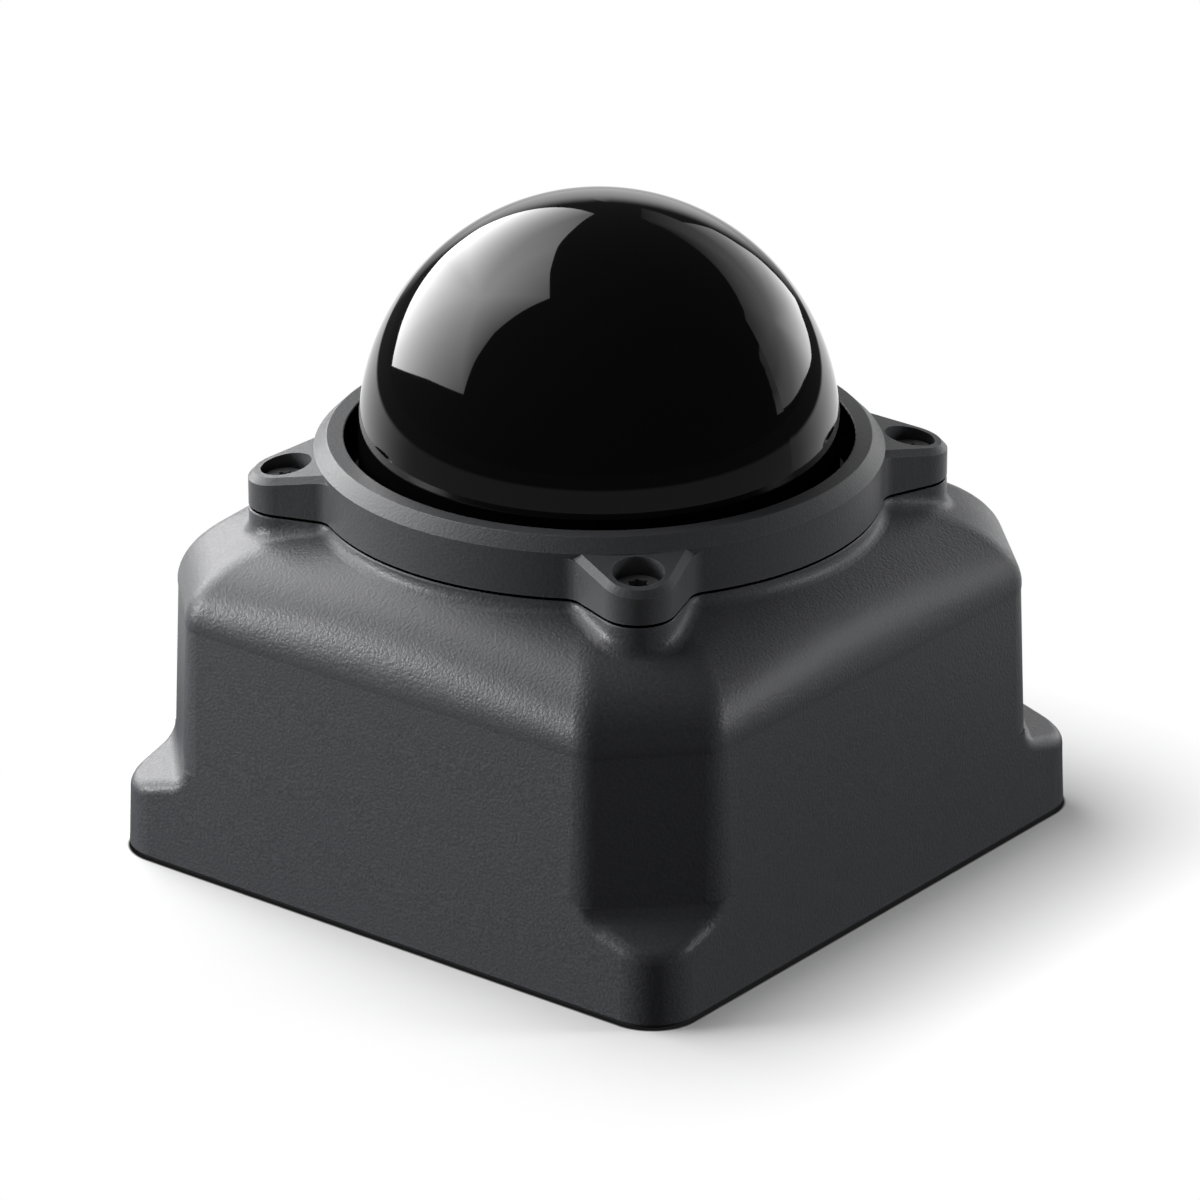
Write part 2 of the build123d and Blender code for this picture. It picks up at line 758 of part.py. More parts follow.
def coupler_moving():
    low = optics_z + optics_t + coupler_t + coupler_gap
    hub = ring(shaft_r + race_t, shaft_r, low, lower_bearing_z)
    return ring(coupler_r, shaft_r, low, low + coupler_t) + hub


def scanner_frame():
    optics_top = optics_z + optics_t
    frame = rod(skirt_r, optics_top, frame_top_z)
    for x, y, turn in polar(lug_circle_r, diagonals):
        arm = Rot(0, 0, turn) * Pos(lug_circle_r / 2, 0, 0) * block(lug_circle_r, arm_width,
                                                                    frame_bottom_z, frame_top_z)
        frame += arm + Pos(x, y, 0) * rod(ear_r, frame_bottom_z, frame_top_z)
    frame += rod(step_r, frame_top_z, core_z) + rod(tube_r, core_z, tube_top_z)
    frame -= rod(skirt_r - skirt_t, optics_top, lower_bearing_z)
    frame -= rod(bearing_r, lower_bearing_z, lower_bearing_z + bearing_t)
    frame -= rod(bearing_r - lip_t, lower_bearing_z, upper_bearing_z)
    frame -= rod(bearing_r, upper_bearing_z, tube_top_z)
    for x, y, _ in polar(lug_circle_r, diagonals):
        frame -= Pos(x, y, 0) * rod(frame_screw[0] + hole_gap, frame_bottom_z, frame_top_z)
    for x, y, _ in optics_places():
        frame -= Pos(x, y, 0) * rod(optics_screw[0], optics_top, frame_bottom_z)
    return frame


def bearing_parts():
    # outer rings, inner rings and balls of both bearings
    pitch = (shaft_r + bearing_r) / 2
    outer = []
    inner = []
    balls = []
    for low in (lower_bearing_z, upper_bearing_z):
        high = low + bearing_t
        middle = (low + high) / 2
        groove = Pos(0, 0, middle) * Torus(pitch, ball_r + ball_gap)
        outer.append(ring(bearing_r, bearing_r - race_t, low, high) - groove)
        inner.append(ring(shaft_r + race_t, shaft_r, low, high) - groove)
        for x, y, _ in polar(pitch + ball_gap, [360 * n / ball_count for n in range(ball_count)]):
            balls.append(Pos(x, y, middle) * Sphere(ball_r))
    return Compound(outer), Compound(inner), Compound(balls)


def tooth_angles():
    return [360 * n / tooth_count for n in range(tooth_count)]


def stator_core():
    back = Circle(tube_r + core_back_t)
    crown = Circle(core_r) - Circle(core_r - tooth_tip_t)
    profile = back + crown
    for turn in tooth_angles():
        profile += Rot(0, 0, turn) * Pos((tube_r + core_r) / 2, 0) * Rectangle(
            core_r - tube_r - 2 * tooth_lap, tooth_width)
        profile -= Rot(0, 0, turn + 180 / tooth_count) * Pos(core_r, 0) * Rectangle(
            3 * tooth_tip_t, slot_mouth)
    profile -= Circle(tube_r)
    return Pos(0, 0, core_z) * extrude(profile, amount=core_t)


def stator_coils():
    inner = tube_r + core_back_t + coil_inset
    outer = sqrt((core_r - tooth_tip_t) ** 2 - (tooth_width / 2 + coil_t) ** 2) - coil_inset
    length = outer - inner
    middle = Pos((inner + outer) / 2, 0, core_z + core_t / 2)
    solid = Box(length, tooth_width + 2 * coil_t, core_t + 2 * coil_t)
    solid = fillet(solid.edges().filter_by(Axis.X), coil_t * coil_edge_part)
    coil = middle * (solid - Box(length, tooth_width, core_t))
    return Compound([Rot(0, 0, turn) * coil for turn in tooth_angles()])


def rotor_shaft():
    low = optics_z + optics_t + coupler_t + coupler_gap
    shaft = rod(shaft_r, low, hub_top_z) + rod(hub_flange_r, bell_top_z, hub_top_z)
    shaft -= rod(shaft_in_r, low, hub_top_z)
    for x, y, _ in fork_places():
        shaft -= Pos(x, y, 0) * rod(fork_screw[0], bell_top_z, hub_top_z)
    return shaft


def fork_places():
    return polar(fork_screw_circle_r, (45, 135, 225, 315))


def rotor_bell():
    bell = rod(bell_r, bell_top_z - bell_drop, bell_top_z)
    bell -= rod(bell_in_r, bell_top_z - bell_drop, bell_top_z - bell_t)
    bell += ring(shaft_r + race_t, 0, tube_top_z, bell_top_z)
    bell -= rod(shaft_r, tube_top_z, bell_top_z)
    return fillet(bell.edges().sort_by(Axis.Z)[-2:].sort_by(SortBy.RADIUS)[-1], bell_t * bell_edge_part)


def rotor_magnets():
    span = 360 / magnet_count
    low = core_z + core_t / 2 - magnet_h / 2
    band = Circle(bell_in_r) - Circle(magnet_in_r)
    gap = Pos(bell_r / 2, 0) * Rectangle(bell_r, magnet_gap)
    pieces = []
    wedge = Polygon((0, 0), *[(2 * bell_r * cos(radians(a)), 2 * bell_r * sin(radians(a)))
                              for a in (0, span / 2, span)], align=None)
    one = (band & wedge) - gap
    magnet = Pos(0, 0, low) * extrude(one, amount=magnet_h)
    for n in range(magnet_count):
        pieces.append(Rot(0, 0, span * n) * magnet)
    return Compound(pieces)


def encoder_disk():
    disk = ring(encoder_r, bell_r, encoder_z, encoder_z + encoder_t)
    return disk + ring(bell_r + encoder_grip, bell_r, encoder_z, encoder_z + 2 * encoder_t)


def encoder_sensor():
    # a fork sensor over the disk's rim, on one arm of the frame
    inner = bell_r + encoder_grip + sensor_clear
    top = encoder_z + encoder_t + sensor_rise
    body = Pos((inner + sensor_reach) / 2, 0, 0) * block(sensor_reach - inner, sensor_width, frame_top_z, top)
    body -= ring(encoder_r + sensor_gap, 0, encoder_z - sensor_gap, encoder_z + encoder_t + sensor_gap)
    return Rot(0, 0, diagonals[2]) * body


def mirror_fork():
    base = ring(fork_base_r, shaft_in_r, hub_top_z, fork_top_z)
    for side in (1, -1):
        arm = Pos(side * (fork_arm_in + fork_arm_t / 2), 0, 0) * block(
            fork_arm_t, fork_arm_width, hub_top_z, dome_center_z)
        head = Pos(side * fork_arm_in, 0, dome_center_z) * Rot(0, 90 * side, 0) * extrude(
            Circle(fork_arm_width / 2), amount=fork_arm_t)
        base += arm + head
    hole = Pos(-fork_base_r, 0, dome_center_z) * Rot(0, 90, 0) * extrude(
        Circle(axle_r + axle_gap + bush_t), amount=2 * fork_base_r)
    base -= hole
    for x, y, _ in fork_places():
        base -= Pos(x, y, 0) * rod(fork_screw[0] + hole_gap, hub_top_z, fork_top_z)
    return base


def along_x(outer, inner, start, length):
    band = Circle(outer) - Circle(inner) if inner else Circle(outer)
    return Pos(start, 0, dome_center_z) * Rot(0, 90, 0) * extrude(band, amount=length)


def mirror_bushes():
    bore = axle_r + axle_gap
    bushes = []
    for side in (1, -1):
        sleeve = along_x(bore + bush_t, bore, fork_arm_in, fork_arm_t)
        flange = along_x(bush_flange_r, bore, fork_arm_in - bush_flange_t, bush_flange_t)
        bush = sleeve + flange
        bushes.append(bush if side > 0 else bush.rotate(Axis.Z, 180))
    return Compound(bushes)


def mirror_stator():
    # a round cup on the outside of one fork arm, open outwards
    inner = mirror_magnet_r + mirror_air_gap + mirror_coil_t
    return along_x(inner + mirror_core_t, inner, arm_out, mirror_magnet_t + mirror_core_lip)


def mirror_coils():
    inner = mirror_magnet_r + mirror_air_gap
    return along_x(inner + mirror_coil_t, inner, arm_out, mirror_magnet_t + mirror_core_lip)


def mirror_magnets():
    return along_x(mirror_magnet_r, axle_r, magnet_start, mirror_magnet_t)


def mirror_axle():
    start = -arm_out - axle_tail
    return along_x(axle_r, 0, start, magnet_start + mirror_magnet_t - start)


def scan_mirror():
    plate = Pos(0, 0, dome_center_z) * Box(2 * mirror_half_width, 2 * mirror_half_len, mirror_t)
    plate = chamfer(plate.edges().filter_by(Axis.Z), mirror_corner)
    plate += along_x(mirror_t / 2 + mirror_hub_t, 0, -mirror_half_width, 2 * mirror_half_width)
    turned = plate.rotate(Axis((0, 0, dome_center_z), (1, 0, 0)), mirror_rest)
    return turned - along_x(axle_r, 0, -arm_out, 2 * arm_out)


def counterweight():
    width, depth, height = weight_size
    return Pos(-arm_out - width / 2, 0, 0) * block(width, depth, fork_top_z, fork_top_z + height)


def screws(size, seat, length, places, up=1):
    return Compound(spread(screw(size, seat, length, up), places))


os.makedirs("parts", exist_ok=True)
laser_module, detector_module = optics_cans()
bearing_outer_rings, bearing_inner_rings, bearing_balls = bearing_parts()
lug_places = polar(lug_circle_r, diagonals)
lug_seat = lug_screw_seat()
pieces = {
    "housing": housing(),
    "bezel_ring": bezel_ring(),
    "bezel_screws": screws(lug_screw, lug_seat, lug_seat - seam_z + thread_depth - thread_end_gap,
                           lug_places),
    "dome": dome(),
    "dome_gasket": dome_gasket(),
    "base_plate": base_plate(),
    "base_seal": base_seal(),
    "base_screws": screws(base_screw, base_screw[2] + bottom_edge,
                          plate_t + thread_depth - base_screw[2] - bottom_edge - thread_end_gap,
                          polar(base_screw_reach, diagonals), up=-1),
    "connector_shell": connector_shell(),
    "connector_seal": connector_seal(),
    "connector_nut": connector_nut(),
    "connector_insert": connector_insert(),
    "connector_pins": connector_pins(),
    "connector_board": connector_board(),
    "board_header": board_header(),
    "main_board": main_board(),
    "board_screws": screws(board_screw, board_z + board_t, board_t + post_thread_depth - thread_end_gap,
                           rectangle_places(post_x, post_y)),
    "processor": processor(),
    "thermal_pad": thermal_pad(),
    "board_chips": board_chips(),
    "board_link": board_link(),
    "optics_board": optics_board(),
    "optics_screws": screws(optics_screw, optics_z, frame_bottom_z - optics_z - optics_tip_gap,
                            optics_places(), up=-1),
    "laser_module": laser_module,
    "detector_module": detector_module,
    "lens_barrel": lens_barrel(),
    "collimator_lens": collimator_lens(),
    "coupler_fixed": coupler_fixed(),
    "coupler_moving": coupler_moving(),
    "scanner_frame": scanner_frame(),
    "frame_screws": screws(frame_screw, frame_bottom_z, arm_t + thread_depth - thread_end_gap, lug_places,
                           up=-1),
    "bearing_outer_rings": bearing_outer_rings,
    "bearing_inner_rings": bearing_inner_rings,
    "bearing_balls": bearing_balls,
    "stator_core": stator_core(),
    "stator_coils": stator_coils(),
    "rotor_shaft": rotor_shaft(),
    "rotor_bell": rotor_bell(),
    "rotor_magnets": rotor_magnets(),
    "encoder_disk": encoder_disk(),
    "encoder_sensor": encoder_sensor(),
    "mirror_fork": mirror_fork(),
    "fork_screws": screws(fork_screw, fork_top_z, fork_base_t + hub_flange_t - fork_tip_gap,
                          fork_places()),
    "mirror_bushes": mirror_bushes(),
    "mirror_stator": mirror_stator(),
    "mirror_coils": mirror_coils(),
    "mirror_magnets": mirror_magnets(),
    "mirror_axle": mirror_axle(),
    "scan_mirror": scan_mirror(),
    "counterweight": counterweight(),
}
for name, shape in pieces.items():
    export_step(shape, f"parts/{name}.step")
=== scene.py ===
import json
from math import cos, pi, radians, sin

import bpy
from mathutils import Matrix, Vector


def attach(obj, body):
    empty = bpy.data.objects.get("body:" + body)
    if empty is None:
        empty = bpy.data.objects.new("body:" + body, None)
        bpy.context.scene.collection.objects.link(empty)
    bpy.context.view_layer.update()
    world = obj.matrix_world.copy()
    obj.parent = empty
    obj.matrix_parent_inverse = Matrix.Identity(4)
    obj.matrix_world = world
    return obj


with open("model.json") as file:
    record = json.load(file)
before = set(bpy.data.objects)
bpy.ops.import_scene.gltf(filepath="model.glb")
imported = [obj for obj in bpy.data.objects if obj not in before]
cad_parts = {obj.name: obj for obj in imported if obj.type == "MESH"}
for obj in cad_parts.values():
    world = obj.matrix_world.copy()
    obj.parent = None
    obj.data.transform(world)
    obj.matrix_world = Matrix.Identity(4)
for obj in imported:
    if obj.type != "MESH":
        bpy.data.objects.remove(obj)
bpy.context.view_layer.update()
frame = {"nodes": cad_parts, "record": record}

nodes = frame["nodes"]
print("frame loaded:", len(nodes), "nodes")


# small helpers for meshes

def deselectAll():
    if bpy.context.object and bpy.context.object.mode != "OBJECT":
        bpy.ops.object.mode_set(mode="OBJECT")
    bpy.ops.object.select_all(action="DESELECT")


def named(name):
    piece = bpy.context.object
    piece.name = name
    piece.data.name = name
    return piece


def applyModifier(piece, modifier):
    bpy.context.view_layer.objects.active = piece
    bpy.ops.object.modifier_apply(modifier=modifier.name)


def placeInMesh(piece):  # the object goes back to the origin, its place stays in its points
    deselectAll()
    piece.select_set(True)
    bpy.context.view_layer.objects.active = piece
    bpy.ops.object.transform_apply(location=True, rotation=True, scale=True)


# camera, lights and floor

domeCentre = Vector((0, 0, 0.0398))

cameraSettings = {
    "lens": 219.54,
    "eye": (0.384925, -0.488957, 0.289293),
    "turn": 38.13,   # degrees round the object
    "tilt": 23.19,   # degrees above level
    "shiftX": -0.00747,
    "shiftY": -0.0009,
}


def wayTo(settings):  # the direction from the object to a camera or a lamp
    turn, tilt = radians(settings["turn"]), radians(settings["tilt"])
    return Vector((sin(turn) * cos(tilt), -cos(turn) * cos(tilt), sin(tilt)))


def cameraAxes(settings):
    turn = radians(settings["turn"])
    towards = wayTo(settings)
    right = Vector((cos(turn), sin(turn), 0))
    return right, towards.cross(right), towards


def setCamera(settings):
    deselectAll()
    turned = (radians(90 - settings["tilt"]), 0, radians(settings["turn"]))
    bpy.ops.object.camera_add(location=settings["eye"], rotation=turned)
    camera = bpy.context.object
    camera.data.lens = settings["lens"]
    camera.data.shift_x = settings["shiftX"]
    camera.data.shift_y = settings["shiftY"]
    bpy.context.scene.camera = camera


setCamera(cameraSettings)
bpy.context.scene.view_settings.view_transform = "Standard"

# Each corner: how far right, up and towards the camera it is seen from the dome, and how bright it is there.
# The middle is given in the same way.
softboxLeft = {
    "distance": 0.6,
    "middle": (-0.68, 0.74, 0.02, 4.8),
    "corners": (
        (-0.80, 0.25, -0.55, 7.0), (-0.73, 0.32, -0.60, 8.0), (-0.63, 0.38, -0.67, 8.3), (-0.53, 0.42, -0.73, 8.3),
        (-0.40, 0.46, -0.79, 7.0), (-0.30, 0.52, -0.80, 7.8), (-0.23, 0.62, -0.75, 6.0), (-0.16, 0.72, -0.68, 4.0),
        (-0.09, 0.80, -0.59, 2.2), (-0.02, 0.87, -0.49, 0.9), (-0.12, 0.95, -0.30, 1.7), (-0.22, 0.97, -0.11, 2.5),
        (-0.30, 0.94, 0.16, 2.4), (-0.33, 0.85, 0.40, 1.6), (-0.52, 0.76, 0.39, 1.4), (-0.69, 0.62, 0.37, 1.2),
        (-0.83, 0.43, 0.37, 1.1), (-0.90, 0.21, 0.37, 1.4), (-0.96, 0.27, -0.03, 3.5),
    ),
}
softboxRight = {
    "distance": 0.6,
    "middle": (0.79, 0.50, -0.36, 1.1),
    "corners": (
        (0.14, 0.75, -0.64, 0.1), (0.29, 0.74, -0.61, 0.4), (0.33, 0.60, -0.72, 1.1), (0.39, 0.53, -0.76, 1.8),
        (0.40, 0.47, -0.79, 2.1), (0.42, 0.41, -0.81, 2.7), (0.43, 0.36, -0.83, 3.1), (0.44, 0.31, -0.84, 3.7),
        (0.54, 0.31, -0.78, 3.9), (0.63, 0.28, -0.73, 4.1), (0.71, 0.25, -0.66, 4.0), (0.87, 0.21, -0.45, 2.0),
        (0.96, 0.14, -0.25, 1.0), (1.00, 0.07, -0.04, 0.6), (0.98, 0.18, -0.01, 0.3), (0.92, 0.39, 0.02, 0.3),
        (0.85, 0.52, -0.05, 0.3), (0.74, 0.66, -0.15, 0.4), (0.56, 0.78, -0.28, 0.3), (0.36, 0.85, -0.38, 0.1),
        (0.17, 0.86, -0.48, 0.1),
    ),
}


def softboxMaterial():
    material = bpy.data.materials.new("softboxCloth")
    material.use_nodes = True
    tree = material.node_tree
    tree.nodes.clear()
    glow = tree.nodes.new("ShaderNodeEmission")
    level = tree.nodes.new("ShaderNodeAttribute")
    level.attribute_name = "brightness"
    out = tree.nodes.new("ShaderNodeOutputMaterial")
    tree.links.new(level.outputs["Fac"], glow.inputs["Strength"])
    tree.links.new(glow.outputs["Emission"], out.inputs["Surface"])
    return material


def hangSoftbox(name, settings, cloth):
    right, up, towards = cameraAxes(cameraSettings)
    corners = settings["corners"]
    deselectAll()
    bpy.ops.mesh.primitive_circle_add(vertices=len(corners), radius=1, fill_type="TRIFAN")
    panel = named(name)
    level = panel.data.attributes.new("brightness", "FLOAT", "POINT")

    def seenFromDome(corner):
        way = (right * corner[0] + up * corner[1] + towards * corner[2]).normalized()
        return domeCentre + way * settings["distance"]

    points = panel.data.vertices
    hub = min(points, key=lambda point: point.co.length).index
    rim = [point.index for point in points if point.index != hub]
    for index, corner in zip([*rim, hub], [*corners, settings["middle"]]):
        points[index].co = seenFromDome(corner)
        level.data[index].value = corner[3]
    panel.data.materials.append(cloth)
    panel.visible_camera = False


softboxCloth = softboxMaterial()
hangSoftbox("softboxLeft", softboxLeft, softboxCloth)
hangSoftbox("softboxRight", softboxRight, softboxCloth)

# Lamps that light the walls: where round the object, how high, how far, how wide, how strong, and whether
# the gloss sees them. Left and right each have one for the colour and one for the sheen.
lampSettings = {
    "lampLeft": {"turn": -50, "tilt": 6, "away": 0.75, "width": 0.36, "power": 4.2, "sheen": False},
    "lampLeftSheen": {"turn": -50, "tilt": 12, "away": 0.75, "width": 0.26, "power": 4.3, "sheen": True},
    "lampRight": {"turn": 134, "tilt": 12, "away": 0.75, "width": 0.32, "power": 5.7, "sheen": False},
    "lampRightSheen": {"turn": 134, "tilt": 13, "away": 0.75, "width": 0.26, "power": 1.1, "sheen": True},
    "lampFront": {"turn": 43, "tilt": 3, "away": 0.75, "width": 0.30, "power": 0.45, "sheen": False},
}
lampAim = Vector((0, 0, 0.02))  # the point of the object that the lamps face


def hangLamp(name, settings):
    way = wayTo(settings)
    deselectAll()
    bpy.ops.object.light_add(type="AREA", location=way * settings["away"] + lampAim)
    lamp = bpy.context.object
    lamp.name = name
    lamp.rotation_euler = way.to_track_quat("Z", "Y").to_euler()
    lamp.data.size = settings["width"]
    lamp.data.energy = settings["power"]
    lamp.visible_glossy = settings["sheen"]
    flagged = bpy.data.collections.new(name + "Flag")
    flagged.objects.link(nodes["dome"])
    lamp.light_linking.receiver_collection = flagged
    flagged.collection_objects[0].light_linking.link_state = "EXCLUDE"  # a flag keeps it off the dome


for lampName, lampLook in lampSettings.items():
    hangLamp(lampName, lampLook)

# what the gloss sees beyond the floor: bright behind the object, dark on the photographer's side
surroundSettings = {"behind": 1.3, "before": 0.05, "ambient": 0.08, "fromSide": 0.845, "toSide": 0.905}


def paintSurround(settings):
    world = bpy.data.worlds.new("studio")
    bpy.context.scene.world = world
    world.use_nodes = True
    tree = world.node_tree
    tree.nodes.clear()
    add, link = tree.nodes.new, tree.links.new
    way = add("ShaderNodeTexCoord")
    towards = wayTo(cameraSettings)
    away = add("ShaderNodeVectorMath")  # how far a direction points away from the photographer's side
    away.operation = "DOT_PRODUCT"
    away.inputs[1].default_value = (-towards.x, -towards.y, 0)
    fade = add("ShaderNodeMapRange")
    fade.interpolation_type = "SMOOTHSTEP"
    fade.inputs["From Min"].default_value = settings["fromSide"]
    fade.inputs["From Max"].default_value = settings["toSide"]
    fade.inputs["To Min"].default_value = settings["before"]
    fade.inputs["To Max"].default_value = settings["behind"]
    path = add("ShaderNodeLightPath")
    seen = add("ShaderNodeBackground")
    seen.inputs["Strength"].default_value = 1.0
    seen.inputs["Color"].default_value = (1, 1, 1, 1)
    mirrored = add("ShaderNodeBackground")
    lit = add("ShaderNodeBackground")
    lit.inputs["Strength"].default_value = settings["ambient"]
    lit.inputs["Color"].default_value = (1, 1, 1, 1)
    either = add("ShaderNodeMath")
    either.operation = "MAXIMUM"
    byGloss, byCamera = add("ShaderNodeMixShader"), add("ShaderNodeMixShader")
    out = add("ShaderNodeOutputWorld")
    link(way.outputs["Generated"], away.inputs[0])
    link(away.outputs["Value"], fade.inputs["Value"])
    link(fade.outputs["Result"], mirrored.inputs["Strength"])
    link(path.outputs["Is Glossy Ray"], either.inputs[0])
    link(path.outputs["Is Transmission Ray"], either.inputs[1])
    link(either.outputs["Value"], byGloss.inputs["Fac"])
    link(lit.outputs["Background"], byGloss.inputs[1])
    link(mirrored.outputs["Background"], byGloss.inputs[2])
    link(path.outputs["Is Camera Ray"], byCamera.inputs["Fac"])
    link(byGloss.outputs["Shader"], byCamera.inputs[1])
    link(seen.outputs["Background"], byCamera.inputs[2])
    link(byCamera.outputs["Shader"], out.inputs["Surface"])


paintSurround(surroundSettings)

floorSettings = {
    # the contact tone is a painted contact shadow along the foot
    "size": 3.0, "paper": 0.88, "bounce": 0.03, "white": 1.0, "paintedContactShadow": 0.01,
    # the object's outline on the paper is a rounded square, and these distances run out from it
    "footHalf": 0.0278, "footCorner": 0.0047, "paintedContactShadowTo": 0.0003, "whiteFrom": 0.001, "whiteTo": 0.019,
    # how the gloss sees the paper, by distance from the middle
    "nearFrom": 0.05, "nearTo": 0.11, "tableFrom": 0.28, "tableTo": 0.34,
    # and by the way round the object, where 1 is straight behind it
    "front": 0.2, "side": 0.0, "back": 1.2, "backFrom": 0.85,
    "dark": 0.05, "sweep": 0.8, "sweepFrom": 0.90, "sweepTo": 1.0,
}


def layFloor(settings):
    deselectAll()
    bpy.ops.mesh.primitive_plane_add(size=settings["size"], location=(0, 0, 0))
    floor = named("studioFloor")
    material = bpy.data.materials.new("whitePaper")
    material.use_nodes = True
    tree = material.node_tree
    tree.nodes.clear()
    add, link = tree.nodes.new, tree.links.new

    def plainPaper(tone):
        paper = add("ShaderNodeBsdfDiffuse")
        paper.inputs["Color"].default_value = (tone, tone, tone, 1)
        return paper.outputs["BSDF"]

    def plainGlow(strength):
        glow = add("ShaderNodeEmission")
        glow.inputs["Strength"].default_value = strength
        return glow.outputs["Emission"]

    def fade(value, low, high, shape="SMOOTHSTEP"):
        node = add("ShaderNodeMapRange")
        node.interpolation_type = shape
        node.inputs["From Min"].default_value = low
        node.inputs["From Max"].default_value = high
        link(value, node.inputs["Value"])
        return node.outputs["Result"]

    def mixed(share, first, second):
        node = add("ShaderNodeMixShader")
        link(share, node.inputs["Fac"])
        link(first, node.inputs[1])
        link(second, node.inputs[2])
        return node.outputs["Shader"]

    def vectorMath(operation, vector, second=(0, 0, 0)):
        node = add("ShaderNodeVectorMath")
        node.operation = operation
        node.inputs[1].default_value = second
        link(vector, node.inputs[0])
        return node.outputs["Value" if operation in ("LENGTH", "DOT_PRODUCT") else "Vector"]

    # what the camera sees: white paper that the shadow darkens close to the object, with a painted contact shadow,
    # near black, in a thin band along the foot
    place = add("ShaderNodeTexCoord").outputs["Object"]
    half, corner = settings["footHalf"], settings["footCorner"]
    pastFoot = vectorMath("SUBTRACT", vectorMath("ABSOLUTE", place), (half, half, 0))
    fromFoot = vectorMath("LENGTH", vectorMath("MAXIMUM", pastFoot))
    far = fade(fromFoot, corner + settings["whiteFrom"], corner + settings["whiteTo"], "LINEAR")
    # painted contact shadow: the paper turns near black right at the foot's outline
    paintedContactShadow = fade(fromFoot, corner, corner + settings["paintedContactShadowTo"])
    litPaper = mixed(far, plainPaper(settings["paper"]), plainGlow(settings["white"]))
    seen = mixed(paintedContactShadow, plainGlow(settings["paintedContactShadow"]), litPaper)

    # what the gloss sees: dark paper close by, then the table, then the sweep behind it
    reach = vectorMath("LENGTH", place)
    towards = wayTo(cameraSettings)
    straightBehind = Vector((-towards.x, -towards.y, 0)).normalized()
    behind = vectorMath("DOT_PRODUCT", vectorMath("NORMALIZE", place), straightBehind)
    tableShare = fade(behind, settings["side"], settings["backFrom"])
    table = mixed(tableShare, plainGlow(settings["front"]), plainGlow(settings["back"]))
    sweepShare = fade(behind, settings["sweepFrom"], settings["sweepTo"])
    sweep = mixed(sweepShare, plainGlow(settings["dark"]), plainGlow(settings["sweep"]))
    tableEnd = fade(reach, settings["tableFrom"], settings["tableTo"])
    beyond = mixed(tableEnd, table, sweep)
    away = fade(reach, settings["nearFrom"], settings["nearTo"])
    mirrored = mixed(away, plainPaper(settings["bounce"]), beyond)

    path = add("ShaderNodeLightPath")
    glossOrGlass = add("ShaderNodeMath")
    glossOrGlass.operation = "MAXIMUM"
    link(path.outputs["Is Glossy Ray"], glossOrGlass.inputs[0])
    link(path.outputs["Is Transmission Ray"], glossOrGlass.inputs[1])
    unseen = mixed(glossOrGlass.outputs["Value"], plainPaper(settings["bounce"]), mirrored)
    out = add("ShaderNodeOutputMaterial")
    link(mixed(path.outputs["Is Camera Ray"], unseen, seen), out.inputs["Surface"])
    floor.data.materials.append(material)


layFloor(floorSettings)
print("camera, lights and floor set")


# shared surface effects, as node groups

def newGroup(name, values, outputs):  # a group takes a place on the surface and some values
    group = bpy.data.node_groups.new(name, "ShaderNodeTree")
    group.interface.new_socket("Vector", in_out="INPUT", socket_type="NodeSocketVector")
    for label, value in values.items():
        socket = group.interface.new_socket(label, in_out="INPUT", socket_type="NodeSocketFloat")
        socket.default_value = value
    for label in outputs:
        group.interface.new_socket(label, in_out="OUTPUT", socket_type="NodeSocketFloat")
    return group, group.nodes.new("NodeGroupInput").outputs, group.nodes.new("NodeGroupOutput").inputs


def feed(tree, socket, value):  # with a plain value, or with what another node puts out
    if isinstance(value, bpy.types.NodeSocket):
        tree.links.new(value, socket)
    else:
        socket.default_value = value


def floatMath(tree, operation, *values, clamp=False):
    node = tree.nodes.new("ShaderNodeMath")
    node.operation = operation
    node.use_clamp = clamp
    for socket, value in zip(node.inputs, values):
        feed(tree, socket, value)
    return node.outputs["Value"]


def noise(tree, vector, scale, detail=2.0, roughness=0.5):
    node = tree.nodes.new("ShaderNodeTexNoise")
    tree.links.new(vector, node.inputs["Vector"])
    feed(tree, node.inputs["Scale"], scale)
    node.inputs["Detail"].default_value = detail
    node.inputs["Roughness"].default_value = roughness
    return node.outputs["Fac"]


def heightAndRadius(tree, vector):  # how far a place is up the Z axis, and how far out from it
    apart = tree.nodes.new("ShaderNodeSeparateXYZ")
    tree.links.new(vector, apart.inputs[0])
    across = floatMath(tree, "MULTIPLY", apart.outputs["X"], apart.outputs["X"])
    along = floatMath(tree, "MULTIPLY", apart.outputs["Y"], apart.outputs["Y"])
    radius = floatMath(tree, "SQRT", floatMath(tree, "ADD", across, along))
    return apart.outputs["Z"], radius


def makeSandGrain():  # the sandy skin that a powder coat takes over a cast wall
    group, given, out = newGroup("sandGrain", {"Scale": 2200.0, "Peel": 0.5}, ("Height", "Speckle"))
    broadShare, speckleGain, speckleShift = 0.38, 1.6, -0.3
    fine = noise(group, given["Vector"], given["Scale"], 1.0, 0.5)
    broadScale = floatMath(group, "MULTIPLY", given["Scale"], broadShare)
    broad = noise(group, given["Vector"], broadScale, 1.0, 0.4)
    mix = group.nodes.new("ShaderNodeMix")
    group.links.new(given["Peel"], mix.inputs["Factor"])
    group.links.new(fine, mix.inputs["A"])
    group.links.new(broad, mix.inputs["B"])
    group.links.new(mix.outputs["Result"], out["Height"])
    group.links.new(floatMath(group, "MULTIPLY_ADD", fine, speckleGain, speckleShift, clamp=True), out["Speckle"])
    return group


def makeSlowDrift():  # broad, faint change of tone over a surface
    group, given, out = newGroup("slowDrift", {"Scale": 60.0, "Contrast": 1.5}, ("Mask",))
    broad = noise(group, given["Vector"], given["Scale"], 4.0, 0.55)
    centred = floatMath(group, "SUBTRACT", broad, 0.5)
    spread = floatMath(group, "MULTIPLY", centred, given["Contrast"])
    group.links.new(floatMath(group, "ADD", spread, 0.5, clamp=True), out["Mask"])
    return group


